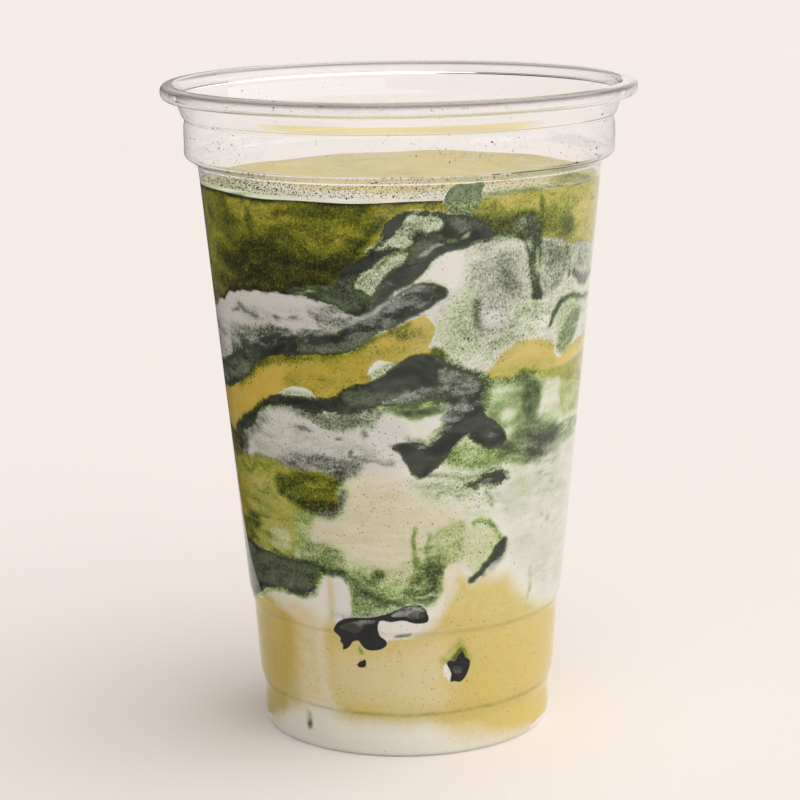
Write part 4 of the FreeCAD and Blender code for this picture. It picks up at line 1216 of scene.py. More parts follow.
@dataclass(frozen=True)
class DrinkFinish:
    """The drink's colours in plain light, and its skin."""

    mustard: Colour = (0.645, 0.480, 0.085)
    mustard_deep: Colour = (0.59, 0.425, 0.06)
    cream: Colour = (0.82, 0.805, 0.74)
    lilac: Colour = (0.65, 0.63, 0.62)
    straw: Colour = (0.62, 0.52, 0.14)
    milk: Colour = (0.83, 0.785, 0.67)
    wash: Colour = (0.75, 0.74, 0.42)
    charcoal: Colour = (0.016, 0.019, 0.013)
    charcoal_dusty: Colour = (0.125, 0.145, 0.11)
    charcoal_green: Colour = (0.14, 0.175, 0.095)
    haze: Colour = (0.35, 0.378, 0.35)
    frost: Colour = (0.52, 0.56, 0.54)
    grit: Colour = (0.04, 0.055, 0.022)
    ink: Colour = (0.008, 0.008, 0.009)
    # What the powder leaves of the colour under it, from none to thick, and where it does so.
    powder_steps: tuple[float, ...] = (0.0, 0.3, 0.55, 0.8, 1.0)
    powder_green: tuple[Colour, ...] = (
        (1, 1, 1), (0.53, 0.72, 0.32), (0.24, 0.38, 0.08), (0.07, 0.125, 0.025), (0.02, 0.027, 0.012))
    powder_grey: tuple[Colour, ...] = (
        (1, 1, 1), (0.73, 0.76, 0.71), (0.37, 0.40, 0.36), (0.10, 0.11, 0.095), (0.022, 0.024, 0.022))
    cloud_bend: float = 9.0                     # mm: the size of the swirls that bend the clouds, and their reach
    swayed: float = 0.45                        # how much of that bend the grit takes
    flecks: tuple[float, ...] = (0.5, 0.3)      # sizes of the frost's flecks in mm
    # The grit's sizes in mm, and how far each falls short of the dusting: large specks are only where it is thick.
    specks: tuple[tuple[float, float], ...] = ((0.62, 0.2), (0.43, 0.06), (0.28, -0.03))
    roughness: float = 0.5
    specular: float = 0.15

    def material(self, powder: bpy.types.NodeTree, edge: bpy.types.NodeTree) -> bpy.types.Material:
        """Mixes the tones that the drink's vertices carry.

        Args:
            powder: the group that scatters specks.
            edge: the group that roughens an edge.

        Returns:
            The drink's material.
        """
        made, graph = new_material("smoothie")
        place = graph.place()
        tone = {each: graph.attribute(each.value) for each in (*COVERING, *STAINS)}
        broad, small = graph.grain(place, 3.2, 3.0), graph.grain(place, 0.9, 2.0)
        mottle = graph.scaled(small, 0.4, graph.times(broad, 0.6))
        bent = graph.stirred(place, 1 / (self.cloud_bend * MM), self.cloud_bend * MM)
        swayed = graph.node("ShaderNodeMix", {0: self.swayed, 4: place, 5: bent}, data_type="VECTOR").outputs[1]
        crumbs = graph.grain(place, 0.5, 2.0, 0.7)
        cloud = graph.scaled(crumbs, 0.3, graph.grain(bent, 4.6, 6.0, 0.66, Vector((0.7, 0.7, 1.5))))

        def stained(which: Tone, patchy: float) -> bpy.types.NodeSocket:
            """A stain's strength, made patchy by the mottling."""
            return graph.times(tone[which], graph.scaled(mottle, patchy, 1.0), clamp=True)

        def veined(which: Tone) -> bpy.types.NodeSocket:
            """A stain drawn out into clouds and threads that cover as large a share as its level says."""
            drawn = graph.between(graph.scaled(tone[which], 1.8, cloud), 0.35, 1.45)
            return graph.times(drawn, graph.times(tone[which], 7.0, clamp=True))

        def edged(distance: object, grain: float, soft: object) -> bpy.types.NodeSocket:
            """Where a covering tone lies, from the distance into it."""
            inputs = {"Place": place, "Distance mm": distance, "Grain mm": grain, "Softness mm": soft}
            return graph.group(edge, inputs)

        def specked(colour: object, where: object, density: object, size: float, share: float,
                    speck: Colour) -> bpy.types.NodeSocket:
            """The colour with specks of one size on it."""
            mask = graph.group(powder, {"Place": where, "Density": density, "Size mm": size})
            return graph.mix(graph.times(mask, share), colour, speck)

        def left_by(amount: object, steps: tuple[Colour, ...]) -> bpy.types.NodeSocket:
            """What an amount of powder leaves of the colour under it."""
            ramp = graph.node("ShaderNodeValToRGB", {0: amount})
            while len(ramp.color_ramp.elements) < len(steps):
                ramp.color_ramp.elements.new(0.5)
            for element, at, part in zip(ramp.color_ramp.elements, self.powder_steps, steps):
                element.position, element.color = at, (*part, 1.0)
            return ramp.outputs[0]

        # The ground: mustard and cream.
        pale = graph.mix(stained(LILAC, 0.4), self.cream, self.lilac)
        warm = graph.mix(graph.between(broad, -0.6, 0.9), self.mustard, self.mustard_deep)
        warm = graph.mix(stained(WASH, 0.9), warm, self.wash)
        under = graph.scaled(graph.between(tone[CHARCOAL], -1.2, 0.2), 1.2, tone[CREAM])
        colour = graph.mix(edged(under, 0.4, graph.scaled(tone[MELT], 2.4, 0.16)), warm, pale)
        colour = graph.mix(stained(STRAW, 0.4), colour, self.straw)
        colour = graph.mix(stained(MILK, 0.35), colour, self.milk)

        # The powder stirred into it, which also gathers along the charcoal's dusty edge.
        dust = graph.scaled(tone[DUST], 2.0, graph.between(broad, -0.8, 1.0, 0.25, 0.8))
        dark = graph.scaled(cloud, dust, tone[CHARCOAL])
        near = graph.times(graph.between(dark, graph.scaled(dust, -1.3, -0.35), 0.0), graph.scaled(dust, 0.2, 0.25))
        close = graph.times(graph.between(dark, -0.8, -0.1), 0.8)
        amount = graph.math("MAXIMUM", tone[POWDER], graph.math("MAXIMUM", near, close))
        stir = graph.times(graph.between(amount, 0.0, 0.3), 0.42)
        amount = graph.scaled(cloud, stir, amount)
        gritty = graph.times(graph.times(stir, tone[GRIT]), 0.8)
        amount = graph.scaled(crumbs, gritty, amount, clamp=True)
        green = graph.math("ADD", tone[LEAF], 0.5)
        green = graph.math("SUBTRACT", green, graph.times(tone[LILAC], 0.8), clamp=True)
        left = graph.mix(green, left_by(amount, self.powder_grey), left_by(amount, self.powder_green))
        colour = graph.mix(1.0, colour, left, "MULTIPLY")

        # The charcoal, with green dust and pale haze on it.
        dusty = graph.times(graph.between(cloud, -0.5, 1.1), 0.8)
        solid = graph.mix(dusty, self.charcoal, self.charcoal_dusty)
        green_dust = graph.times(veined(LEAF), graph.between(graph.scaled(crumbs, 1.1, cloud), -1.3, 1.0))
        solid = graph.mix(green_dust, solid, self.charcoal_green)
        width = graph.scaled(dust, 0.25, 0.08)
        colour = graph.mix(graph.between(dark, graph.times(width, -1.0), width), colour, solid)
        colour = graph.mix(veined(HAZE), colour, self.haze)
        frosty = graph.times(graph.between(tone[HAZE], 0.2, 0.8), graph.between(cloud, -0.9, 0.5))
        for size in self.flecks:
            colour = specked(colour, bent, frosty, size, 0.8, self.frost)

        # Loose grit, and the glossy ink over everything.
        fringe = graph.times(graph.between(tone[CHARCOAL], -1.8, 0.1), 0.55)
        dusting = graph.times(graph.math("MAXIMUM", tone[GRIT], fringe), graph.between(cloud, -0.7, 0.8))
        for size, least in self.specks:
            colour = specked(colour, swayed, graph.math("SUBTRACT", dusting, least), size, 0.85, self.grit)
        colour = graph.mix(edged(tone[INK], 0.06, 0.1), colour, self.ink)
        relief = graph.scaled(small, 0.5, broad)
        bump = graph.node("ShaderNodeBump", {"Height": relief, "Strength": 0.25, "Distance": 0.2 * MM})
        graph.skin(colour, graph.scaled(mottle, 0.06, self.roughness), self.specular, Normal=bump.outputs[0])
        return made


@dataclass
class Smoothie:
    """The drink, as one closed skin: the base, the marbled side and the frothy top."""

    wall: CupWall
    finish: DrinkFinish = field(default_factory=DrinkFinish)
    into_wall: float = 0.12         # how far the skin reaches into the plastic
    front_half_angle: float = 80.0  # finer columns up to here each way
    front_columns: int = 212
    back_columns: int = 108
    side_spacing: float = 0.47
    base_rings: int = 10
    base_slope: float = 0.2         # the line's lowest point, seen along this slope, is the corner of base and side
    froth_rings: int = 36
    froth_closing: float = 1.25     # over 1, the froth's rings lie closer together near the wall
    squeeze_from: float = 108.0     # over this height the rows close up to the wavy level
    mean_level: float = 116.2
    froth_drop: float = 20.2
    froth_swell: float = 0.5
    # Waves of the level round the wall: height, how many round the cup, and start in radians.
    level_waves: tuple[tuple[float, float, float], ...] = ((0.32, 1, 0.15), (0.16, 3, -0.5), (0.13, 11, 0.8))
    # Straight waves of the froth: height, length and direction in degrees.
    froth_waves: tuple[tuple[float, float, float], ...] = (
        (0.26, 31.0, 20.0), (0.20, 23.0, 95.0), (0.15, 17.0, 150.0))

    def angles(self) -> np.ndarray:
        """Each column's degrees round the cup, from behind the left side all the way round."""
        half = self.front_half_angle
        front = np.linspace(-half, half, self.front_columns, endpoint=False)
        back = np.linspace(half, 360 - half, self.back_columns, endpoint=False)
        return np.concatenate([front, back])

    def level(self, angle: np.ndarray) -> np.ndarray:
        """Height of the froth's edge on the wall: a mean level plus two slow sine waves and a quick one."""
        height = self.mean_level
        for wave, count, start in self.level_waves:
            height = height + wave * np.sin(count * np.radians(angle) + start)
        return height

    def froth(self, x: np.ndarray, y: np.ndarray) -> np.ndarray:
        """Height of the froth: the mean level, a swell that falls with the radius squared, and crossing waves."""
        radius = self.wall.rim_diameter / 2
        height = self.wall.height - self.froth_drop + self.froth_swell * (0.5 - (x * x + y * y) / radius ** 2)
        for wave, length, direction in self.froth_waves:
            heading = math.radians(direction)
            along = x * math.cos(heading) + y * math.sin(heading)
            height = height + wave * np.sin(2 * math.pi * along / length + heading)
        return height

    def rings(self) -> np.ndarray:
        """Places of all rings but the two poles, shape (rings, columns, 3), from the base out, up and in.

        The base and side follow the wall's inner line. The top rows close up
        to the level, and the froth runs from there to the axis, with its edge
        blended from the level and noise of two sizes for its bubbles.
        """
        angle = self.angles()
        line = self.wall.line(self.wall.wall / 2 - self.into_wall)
        line = line[line[:, 1] < self.wall.height - self.wall.collar_drop]
        length = np.concatenate([[0], np.cumsum(np.hypot(*np.diff(line, axis=0).T))])
        corner = length[np.argmin(line[:, 1] - self.base_slope * line[:, 0])]
        top = np.interp(self.mean_level, line[:, 1][length > corner], length[length > corner])
        rows = np.concatenate([np.linspace(0, corner, self.base_rings + 1)[1:],
                               np.linspace(corner, top, int((top - corner) / self.side_spacing))[1:]])
        radius, height = np.interp(rows, length, line[:, 0]), np.interp(rows, length, line[:, 1])
        share = np.clip((height - self.squeeze_from) / (self.mean_level - self.squeeze_from), 0, 1)[:, None]
        height = height[:, None] + share * (self.level(angle) - self.mean_level)[None]
        side = line[length > corner]
        radius = np.where(share > 0, np.interp(height, side[:, 1], side[:, 0]), radius[:, None])
        outer = around(angle[None], radius, height)
        inward = 1 - (np.arange(1, self.froth_rings + 1) / (self.froth_rings + 1)) ** self.froth_closing
        froth = outer[-1][None] * inward[:, None, None]
        flat = froth.reshape(-1, 3)
        bubbles = 0.3 * noise(flat, 4.5, 401, 2) + 0.14 * np.abs(noise(flat, 1.6, 403))
        rise = self.froth(froth[..., 0], froth[..., 1]) + bubbles.reshape(froth.shape[:2])
        edge = smoothstep(0.9, 1.0, inward)[:, None]
        froth[..., 2] = rise * (1 - edge) + self.level(angle)[None] * edge
        return np.concatenate([outer, froth])

    def places(self, rings: np.ndarray) -> np.ndarray:
        """Every vertex: the base's middle, the rings, and the froth's middle."""
        return with_poles(rings, rings[0, 0, 2], rings[-1, :, 2].mean())

    def froth_tones(self, places: np.ndarray) -> dict[Tone, np.ndarray]:
        """Tones of the froth: milky towards the wall, with powder along it at the left and olive at the right.

        Each area is a product of soft steps of the angle and of the distance
        from the wall, both made ragged by noise.
        """
        angle = degrees_round(places)
        from_wall = self.wall.inner_radius(self.mean_level) - np.hypot(places[:, 0], places[:, 1])
        cloud, threads = noise(places, 7.0, 411, 2), noise(places, 3.2, 415, 3)
        ragged = angle + 6 * cloud, angle + 8 * cloud, from_wall + 2 * threads
        edge = smoothstep(18, 8, from_wall + 3 * cloud)
        ahead = smoothstep(100, 40, np.abs(angle))
        left = smoothstep(-34, -52, ragged[0]) * smoothstep(-105, -78, ragged[1]) * smoothstep(15, 3, ragged[2])
        right = smoothstep(16, 36, ragged[0]) * smoothstep(118, 78, ragged[1]) * smoothstep(15, 6, ragged[2])
        ring = smoothstep(1.1, 0.3, from_wall)
        milky = 0.3 + 0.9 * edge * ahead + 0.15 * cloud
        stirred = left * (0.2 + 0.22 * threads) + right * (0.28 + 0.25 * threads)
        blank = np.zeros(len(places))
        tones = {tone: blank - Marbling.reach for tone in COVERING} | {tone: blank for tone in STAINS}
        tones[POWDER] = np.clip(stirred + 0.8 * ring * ahead + 0.03, 0, 1)
        tones[LEAF] = 0.12 * left + 0.3 * right
        tones[CREAM] = 2.5 * np.clip(edge * ahead * (1 - right) + 0.3 * cloud, 0, 1) - 1.1
        tones[MELT] = blank + 0.9
        tones[MILK] = np.clip(milky * (1 - 0.9 * right) - 0.1 * left, 0, 1)
        tones[STRAW] = np.clip(0.45 - 0.45 * edge - 0.5 * edge * ahead + 0.25 * cloud, 0, 1)
        tones[GRIT] = np.clip(0.12 + 0.25 * edge + 0.2 * cloud, 0, 1)
        return tones

    def tones(self, rings: np.ndarray) -> dict[Tone, np.ndarray]:
        """Every vertex's tones: poles, base and side by the marks, and the froth by its own rule."""
        places = self.places(rings)
        froth_start = len(places) - 1 - self.froth_rings * rings.shape[1]
        marbling = Marbling(places[:froth_start])
        for region in REGIONS:
            region(marbling.lay)
        angle, height = marbling.angle, marbling.places[:, 2]
        drop = self.level(angle) - height
        line = smoothstep(0.75, 0.3, drop) * smoothstep(30, 5, angle) * smoothstep(-130, -95, angle)
        marbling.tones[POWDER] = np.maximum(marbling.tones[POWDER], line)
        froth = self.froth_tones(places[froth_start:])
        return {tone: np.concatenate([marbling.tones[tone], froth[tone]]) for tone in (*COVERING, *STAINS)}

    def unwrap(self, mesh: bpy.types.Mesh, rings: np.ndarray) -> None:
        """Lays out a UV map: the side as a strip over two discs, the froth's and the base's.

        Each corner of a face has a row, with the poles' before the first ring
        and after the last, and a column. On the strip they count along and up,
        and on a disc the row is a share of its radius and the column a turn.
        """
        count, columns = rings.shape[:2]
        froth_from = count - self.froth_rings - 1
        row, column = (grid[..., None] for grid in np.mgrid[0:count - 1, 0:columns])
        one = np.arange(columns)[:, None]
        quads = np.stack([row + (0, 0, 1, 1), column + (0, 1, 1, 0)], -1).reshape(-1, 2)
        first = np.stack([0 * one + (-1, 0, 0), one + (0, 1, 0)], -1).reshape(-1, 2)
        last = np.stack([0 * one + (count, count - 1, count - 1), one + (0, 0, 1)], -1).reshape(-1, 2)
        row, column = np.vstack([quads, first, last]).T
        face_row = np.concatenate([quads[::4, 0].repeat(4), np.full(3 * columns, -1), np.full(3 * columns, count)])
        turn = np.radians(np.append(self.angles(), self.angles()[0] + 360))[column]
        places = np.stack([0.004 + 0.992 * column / columns,
                           0.32 + 0.676 * (row - self.base_rings + 1) / (froth_from - self.base_rings + 1)], -1)
        for middle, inside, share in ((0.16, face_row >= froth_from, (count - row) / (self.froth_rings + 1)),
                                      (0.5, face_row < self.base_rings - 1, (row + 1) / self.base_rings)):
            disc = np.stack([middle + 0.15 * share * np.sin(turn), 0.157 - 0.15 * share * np.cos(turn)], -1)
            places = np.where(inside[:, None], disc, places)
        layer = mesh.uv_layers.new(name="OFBake")
        layer.data.foreach_set("uv", places.astype(np.float32).ravel())

    def build(self, powder: bpy.types.NodeTree, edge: bpy.types.NodeTree) -> bpy.types.Object:
        """Makes the drink's skin and dresses it.

        Args:
            powder: the group that scatters specks.
            edge: the group that roughens an edge.

        Returns:
            The drink, in place of its CAD node.
        """
        rings = self.rings()
        piece = new_piece("drink", self.places(rings) * MM, shell_faces(*rings.shape[:2]))
        self.unwrap(piece.data, rings)
        for tone, values in self.tones(rings).items():
            carry(piece, tone.value, values)
        piece.data.materials.append(self.finish.material(powder, edge))
        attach(piece, "root")
        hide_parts("smoothie")
        return piece


# ---- The cup ----

@dataclass(frozen=True)
class ClearPlastic:
    """Thin clear plastic, slightly wavy from forming."""

    tint: Colour = (0.985, 0.985, 0.98)
    painted_rim_shade_tint: Colour = (0.30, 0.27, 0.29)      # painted shade: the colour that the bend attribute darkens the rim's roll towards
    painted_refraction: Colour = (0.93, 0.85, 0.52)           # painted refraction: the drink's yellow seen through the plastic, painted over the groove for the lid
    painted_refraction_heights: tuple[float, float] = (129.6, 131.2)
    painted_refraction_soft: float = 0.2
    painted_refraction_front: tuple[float, float] = (-34.0, -40.0)    # places along Y between which the painted refraction comes up
    most_bounces: int = 1                       # light caught in the wall is let out after these
    roughness: float = 0.03
    haze: float = 0.012                         # how much rougher or smoother it is from place to place
    haze_size: float = 14.0
    index: float = 1.34
    wave_size: float = 9.0
    wave_height: float = 0.03

    def material(self) -> bpy.types.Material:
        """Clear plastic that lets the lamps' light through to what is behind it."""
        made, graph = new_material("clear plastic")
        place = graph.place()
        waves = graph.grain(place, self.wave_size, 1.0)
        bump = graph.node("ShaderNodeBump", {"Height": waves, "Strength": 1.0, "Distance": self.wave_height * MM})
        hazy = graph.scaled(graph.grain(place, self.haze_size, 2.0), self.haze, self.roughness)
        # Painted shade: the bend attribute darkens the plastic on the outside of the rim's roll.
        tint = graph.mix(graph.attribute("bend"), self.tint, self.painted_rim_shade_tint)
        # Painted refraction: a yellow band of the drink's colour across the front of the plastic over the groove.
        split = graph.node("ShaderNodeSeparateXYZ", {0: place})
        (low, high), (far, near), soft = self.painted_refraction_heights, self.painted_refraction_front, self.painted_refraction_soft
        painted_refraction = graph.times(graph.between(split.outputs[2], low * MM, (low + soft) * MM),
                           graph.between(split.outputs[2], high * MM, (high - soft) * MM))
        painted_refraction = graph.times(painted_refraction, graph.between(split.outputs[1], far * MM, near * MM))
        tint = graph.mix(painted_refraction, tint, self.painted_refraction)
        glass = graph.node("ShaderNodeBsdfPrincipled", {
            "Base Color": tint, "Roughness": hazy, "IOR": self.index, "Transmission Weight": 1.0,
            "Normal": bump.outputs[0]})
        clear = graph.node("ShaderNodeBsdfTransparent", {"Color": (*self.tint, 1.0)})
        path = graph.node("ShaderNodeLightPath")
        lit = graph.math("MAXIMUM", path.outputs["Is Shadow Ray"], path.outputs["Is Diffuse Ray"])
        lit = graph.math("MAXIMUM", lit, graph.math("GREATER_THAN", path.outputs["Glossy Depth"], self.most_bounces))
        both = graph.node("ShaderNodeMixShader", {0: lit, 1: glass.outputs[0], 2: clear.outputs[0]})
        graph.node("ShaderNodeOutputMaterial", {"Surface": both.outputs[0]})
        return made


def along_line(line: np.ndarray, spacing: float, close: float = 0.7) -> np.ndarray:
    """The line with points added, so that no span is longer than spacing and long ones have a short one at each end.

    Args:
        line: rows of (radius, height) in mm.
        spacing: the longest span.
        close: the length of the short spans.

    Returns:
        Rows of (radius, height), the line's own points among them.
    """
    pieces = []
    for start, end in zip(line[:-1], line[1:]):
        length = float(np.hypot(*(end - start)))
        inner = np.linspace(close, length - close, max(2, int(length / spacing) + 1)) if length > 2.5 * close else []
        pieces.append(start + (end - start) * np.concatenate([[0], inner])[:, None] / max(length, 1e-9))
    return np.vstack([*pieces, line[-1:]])


@dataclass
class Cup:
    """The clear cup: its wall's two lines joined at the axis and at the roll's end, and turned once round Z."""

    wall: CupWall
    finish: ClearPlastic = field(default_factory=ClearPlastic)
    columns: int = 208
    spacing: float = 4.0
    dark_drop: float = 0.75         # the painted shade on the roll is darkest this far under its top
    dark_width: float = 0.4
    dark_share: float = 0.45        # of the roll's width, on its outside
    darkest: float = 0.98

    def bends(self, section: np.ndarray) -> np.ndarray:
        """How much painted shade the plastic has at each point: a bell curve of the height, on the outside of the
        roll.
        """
        top = np.exp(-((section[:, 1] - self.wall.height + self.dark_drop) / self.dark_width) ** 2)
        outer = section[:, 0] > self.wall.rim_diameter / 2 - self.dark_share * self.wall.roll_width
        return self.darkest * top * outer

    def build(self) -> bpy.types.Object:
        """Makes the cup's wall and dresses it."""
        outside, inside = (along_line(line, self.spacing) for line in (self.wall.outside(), self.wall.inside()))
        section = np.vstack([outside[1:], inside[:0:-1]])
        angle = np.arange(self.columns) * 360 / self.columns
        rings = around(angle[None], section[:, 0:1], section[:, 1:2])
        places = with_poles(rings, outside[0, 1], inside[0, 1])
        piece = new_piece("clear_cup", places * MM, shell_faces(len(section), self.columns))
        # The bend attribute carries the painted shade of the roll.
        carry(piece, "bend", np.concatenate([[0], np.repeat(self.bends(section), self.columns), [0]]))
        piece.data.materials.append(self.finish.material())
        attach(piece, "root")
        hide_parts("cup")
        return piece


# ---- Powder and smears over the drink ----

@dataclass(frozen=True)
class Sprinkle:
    """A cloud of crumbs on the wall: how many, its middle and spread in degrees, and its heights in mm."""

    count: int
    angle: float
    spread: float
    low: float
    high: float


@dataclass
class Powder:
    """Dark green crumbs that cling to the inside of the cup over the drink."""

    wall: CupWall
    colour: Colour = (0.025, 0.032, 0.014)
    pale: Colour = (0.13, 0.14, 0.07)
    seed: int = 20
    crumb: float = 0.07                                 # middle size, of a log-normal spread
    crumb_spread: float = 0.45
    crumb_limits: tuple[float, float] = (0.04, 0.28)
    uneven: tuple[float, float] = (0.55, 1.25)          # how far a crumb's corners are from its middle, in sizes
    lifted: float = 0.35                                # how far that middle is off the wall, in sizes
    clouds: tuple[Sprinkle, ...] = (
        Sprinkle(260, 12, 26, 133.6, 135.3), Sprinkle(110, 92, 7, 132.6, 135.2), Sprinkle(60, -40, 20, 133.8, 135.2),
        Sprinkle(120, -50, 12, 122, 130), Sprinkle(80, 60, 18, 122, 131), Sprinkle(90, 16, 9, 124, 128),
        Sprinkle(420, -42, 9, 119.2, 121.2), Sprinkle(330, 2, 9, 119.2, 121.4), Sprinkle(240, 28, 6, 119.2, 121.0),
        Sprinkle(230, 53, 6, 119.2, 121.8), Sprinkle(1700, -46, 20, 117, 119.4), Sprinkle(1800, 4, 26, 116.9, 119.4),
        Sprinkle(260, 180, 60, 117.3, 121.5), Sprinkle(120, 180, 70, 122, 132), Sprinkle(140, 110, 20, 117, 121.3),
    )

    def places(self, rng: np.random.Generator) -> tuple[np.ndarray, np.ndarray]:
        """Each crumb's angle and height. Angles gather round their cloud's middle."""
        angle = np.concatenate([each.angle + each.spread * rng.standard_normal(each.count) for each in self.clouds])
        height = np.concatenate([rng.uniform(each.low, each.high, each.count) for each in self.clouds])
        return angle, height

    def build(self) -> bpy.types.Object:
        """Makes the crumbs: octahedra with uneven corners, lying on the inside of the wall."""
        rng = np.random.default_rng(self.seed)
        angle, height = self.places(rng)
        line, roll = self.wall.inside(), self.wall.rim_diameter / 2 - self.wall.roll_width
        climb = line[(line[:, 1] > self.wall.neck) & (line[:, 0] < roll + 0.5)]
        climb = climb[:np.argmax(climb[:, 1]) + 1]
        size = np.clip(rng.lognormal(math.log(self.crumb), self.crumb_spread, len(angle)), *self.crumb_limits)
        radius = np.interp(height, climb[:, 1], climb[:, 0]) - self.lifted * size
        middle = around(angle, radius, height)
        axes = np.array([(1, 0, 0), (0, 1, 0), (-1, 0, 0), (0, -1, 0), (0, 0, 1), (0, 0, -1)], dtype=float)
        stretch = rng.uniform(*self.uneven, (len(angle), len(axes), 1))
        corners = middle[:, None] + axes[None] * size[:, None, None] * stretch
        faces = np.array([(0, 1, 4), (1, 2, 4), (2, 3, 4), (3, 0, 4), (1, 0, 5), (2, 1, 5), (3, 2, 5), (0, 3, 5)])
        numbers = (np.arange(len(angle))[:, None, None] * len(axes) + faces[None]).reshape(-1, 3)
        piece = new_piece("powder", corners.reshape(-1, 3) * MM, [numbers])
        piece.data.materials.append(self.material())
        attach(piece, "root")
        return piece

    def material(self) -> bpy.types.Material:
        """Dull ground leaf, from dark to dusty crumb by crumb."""
        made, graph = new_material("powder crumbs")
        shade = graph.between(graph.grain(graph.place(), 0.9, 1.0), -0.2, 1.0)
        graph.skin(graph.mix(shade, self.colour, self.pale), 0.9, 0.1)
        return made


@dataclass
class Smear:
    """A grey green lick of froth on the inside of the wall, full of powder."""

    wall: CupWall
    outline: tuple[tuple[float, float], ...] = (
        (11.6, 115.5), (12.3, 117.5), (13.8, 118.9), (16, 119.5), (19, 119.4), (21.8, 119.7), (23, 119),
        (22.2, 117.6), (22.5, 116), (21.3, 114.3), (17, 113.4), (13.3, 114))
    thick: float = 1.1
    into_wall: float = 0.05
    ripple_size: float = 1.4
    ripple_height: float = 0.4          # as a share of the thickness
    rings: int = 8                      # on each side, from the middle to the outline
    pale: Colour = (0.30, 0.37, 0.21)
    dark: Colour = (0.11, 0.16, 0.07)
    speck: Colour = (0.03, 0.045, 0.02)
    speck_size: float = 0.42
    speck_density: float = 0.9

    def build(self, powder: bpy.types.NodeTree) -> bpy.types.Object:
        """Makes the lick: its outline shrunk to its middle ring by ring, once along the wall and once proud of it.

        Its thickness over the wall is the full one times the square root of
        one less the ring's share squared, times a little noise.

        Args:
            powder: the group that scatters specks.

        Returns:
            The lick.
        """
        edge = through_points(np.array(self.outline), 5, True)[::-1]
        middle = edge.mean(axis=0)
        share = np.linspace(0, 1, self.rings + 1)[1:]
        disc = middle[None, None] + (edge - middle)[None] * share[:, None, None]
        flat = np.concatenate([disc, disc[-2::-1]])
        proud = np.concatenate([np.zeros(self.rings), np.sqrt(1 - share[-2::-1] ** 2)])[:, None] * np.ones(len(edge))
        chart = np.stack([flat[..., 0] * DEGREE, flat[..., 1], proud * 0], axis=-1)
        ripple = noise(chart.reshape(-1, 3), self.ripple_size, 501).reshape(proud.shape)
        depth = proud * self.thick * (1 + self.ripple_height * ripple) - self.into_wall
        rings = around(flat[..., 0], self.wall.inner_radius(flat[..., 1]) - depth, flat[..., 1])
        poles = self.wall.inner_radius(middle[1]) + np.array([self.into_wall, -self.thick])
        poles = around(middle[0], poles, middle[1])
        places = np.vstack([poles[:1], rings.reshape(-1, 3), poles[1:]])
        piece = new_piece("smear", places * MM, shell_faces(len(flat), len(edge)))
        piece.data.materials.append(self.material(powder))
        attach(piece, "root")
        return piece

    def material(self, powder: bpy.types.NodeTree) -> bpy.types.Material:
        """Froth stained by the powder in it."""
        made, graph = new_material("powdery froth")
        place = graph.place()
        colour = graph.mix(graph.between(graph.grain(place, 0.9, 4.0, 0.7), -0.7, 0.7), self.pale, self.dark)
        specks = graph.group(powder, {"Place": place, "Density": self.speck_density, "Size mm": self.speck_size})
        graph.skin(graph.mix(specks, colour, self.speck), 0.6, 0.2)
        return made


# ---- The studio ----

def new_sheet(name: str, corners: list[tuple[float, float, float]]) -> bpy.types.Object:
    """A flat sheet of one face, with its corners in metres."""
    return new_piece(name, np.array(corners), [np.arange(len(corners))[None]], smooth=False)


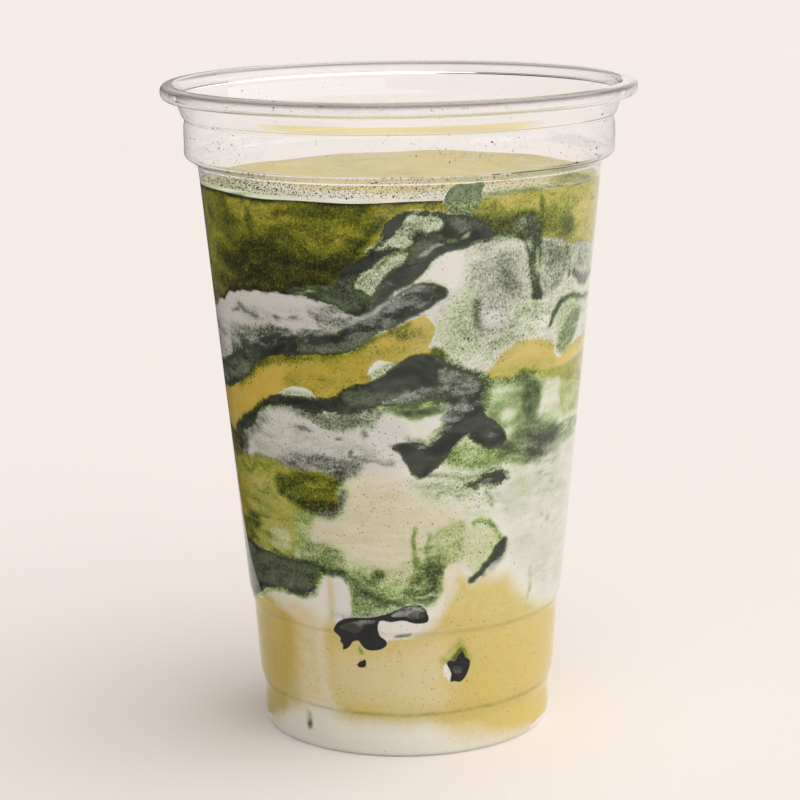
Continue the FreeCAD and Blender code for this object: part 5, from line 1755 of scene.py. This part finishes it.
@dataclass
class Studio:
    """A plain pale floor, a wide soft lamp from the front right, and the camera."""

    floor_half: float = 12.0         # metres from the middle to each side
    floor_colour: Colour = (0.905, 0.855, 0.835)
    flag_colour: Colour = (0.03, 0.03, 0.03)
    lamp_strength: float = 2.35
    lamp_colour: Colour = (1.0, 0.985, 0.96)
    lamp_spread: float = 96.0        # degrees that the lamp fills
    lamp_angle: float = 70.0         # degrees round the cup
    lamp_height: float = 56.0        # degrees over the floor
    fill: Colour = (0.41, 0.388, 0.375)
    backdrop: Colour = (0.91, 0.87, 0.84)
    ceiling: Colour = (0.45, 0.43, 0.43)
    camera_place: tuple[float, float, float] = (0.0, -0.5239, 0.18384)
    pitch: float = 12.414
    yaw: float = -0.072
    roll: float = -0.79
    lens: float = 114.4

    def build(self) -> None:
        """Sets up the floor, the lights and the camera."""
        self.floor()
        self.flag()
        self.lamp()
        self.surroundings()
        self.camera()
        bpy.context.scene.view_settings.view_transform = "Standard"

    def floor(self) -> None:
        """A wide level sheet under the cup."""
        half = self.floor_half
        floor = new_sheet("floor", [(-half, -half, 0), (half, -half, 0), (half, half, 0), (-half, half, 0)])
        made, graph = new_material("floor")
        faint = graph.between(graph.grain(graph.place(), 260.0, 2.0), -1.0, 1.0)
        colour = graph.mix(faint, self.floor_colour, tuple(0.99 * part for part in self.floor_colour))
        graph.skin(colour, 0.85, 0.1)
        floor.data.materials.append(made)

    def flag(self) -> None:
        """A dark sheet on the left that only shows in what shines, so that the plastic stays clear there."""
        side, near, far, top = -0.09, -1.6, 1.2, 0.6
        flag = new_sheet("flag", [(side, near, 0), (side, far, 0), (side, far, top), (side, near, top)])
        made = bpy.data.materials.new("black felt")
        made.use_nodes = True
        felt = made.node_tree.nodes["Principled BSDF"]
        felt.inputs["Base Color"].default_value = (*self.flag_colour, 1.0)
        felt.inputs["Roughness"].default_value = 0.95
        flag.data.materials.append(made)
        flag.visible_camera = flag.visible_diffuse = flag.visible_transmission = flag.visible_shadow = False

    def lamp(self) -> None:
        """One broad lamp far away."""
        light = bpy.data.lights.new("window", "SUN")
        light.energy, light.angle = self.lamp_strength, math.radians(self.lamp_spread)
        light.color = self.lamp_colour
        lamp = bpy.data.objects.new("window", light)
        turn, rise = math.radians(self.lamp_angle), math.radians(self.lamp_height)
        towards = Vector((math.sin(turn) * math.cos(rise), -math.cos(turn) * math.cos(rise), math.sin(rise)))
        lamp.rotation_euler = towards.to_track_quat("Z", "Y").to_euler()
        bpy.context.scene.collection.objects.link(lamp)

    def surroundings(self) -> None:
        """Even fill light, and a pale backdrop that darkens overhead for what shines and what is clear."""
        world = bpy.data.worlds.new("studio")
        bpy.context.scene.world = world
        world.use_nodes = True
        world.node_tree.nodes.clear()
        graph = Graph(world.node_tree)
        direction = graph.node("ShaderNodeTexCoord").outputs["Generated"]
        up = graph.node("ShaderNodeSeparateXYZ", {0: direction}).outputs[2]
        seen = graph.mix(graph.between(up, 0.15, 0.6), self.backdrop, self.ceiling)
        path = graph.node("ShaderNodeLightPath")
        shown = graph.math("MAXIMUM", path.outputs["Is Glossy Ray"], path.outputs["Is Transmission Ray"])
        shown = graph.math("MAXIMUM", shown, path.outputs["Is Camera Ray"])
        light = graph.node("ShaderNodeBackground", {"Color": graph.mix(shown, self.fill, seen), "Strength": 1.0})
        graph.node("ShaderNodeOutputWorld", {"Surface": light.outputs[0]})

    def camera(self) -> None:
        """A long lens from a little over the cup."""
        pitch, yaw, roll = (math.radians(each) for each in (self.pitch, self.yaw, self.roll))
        ahead = Vector((math.sin(yaw) * math.cos(pitch), math.cos(yaw) * math.cos(pitch), -math.sin(pitch)))
        right = Vector((math.cos(yaw), -math.sin(yaw), 0))
        up = right.cross(ahead)
        tilted = right * math.cos(roll) + up * math.sin(roll)
        lifted = up * math.cos(roll) - right * math.sin(roll)
        turned = Matrix((tilted, lifted, -ahead)).transposed()
        camera = bpy.data.objects.new("camera", bpy.data.cameras.new("camera"))
        camera.data.lens, camera.data.sensor_width = self.lens, 36.0
        camera.data.clip_start, camera.data.clip_end = 0.01, 100.0
        camera.matrix_world = Matrix.Translation(self.camera_place) @ turned.to_4x4()
        bpy.context.scene.collection.objects.link(camera)
        bpy.context.scene.camera = camera


def main() -> None:
    """Builds the cup and the drink, piece by piece."""
    logging.basicConfig(level=logging.INFO, format="%(message)s")
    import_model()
    low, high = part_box("cup")
    wall = CupWall(rim_diameter=(high.x - low.x) / MM, height=(high.z - low.z) / MM)
    Studio().build()
    powder, edge = powder_group(), edge_group()
    pieces = [Smoothie(wall).build(powder, edge), Cup(wall).build(), Powder(wall).build(), Smear(wall).build(powder)]
    for piece in pieces:
        LOG.info("%s: %d faces", piece.name, len(piece.data.polygons))


if __name__ == "__main__":
    main()
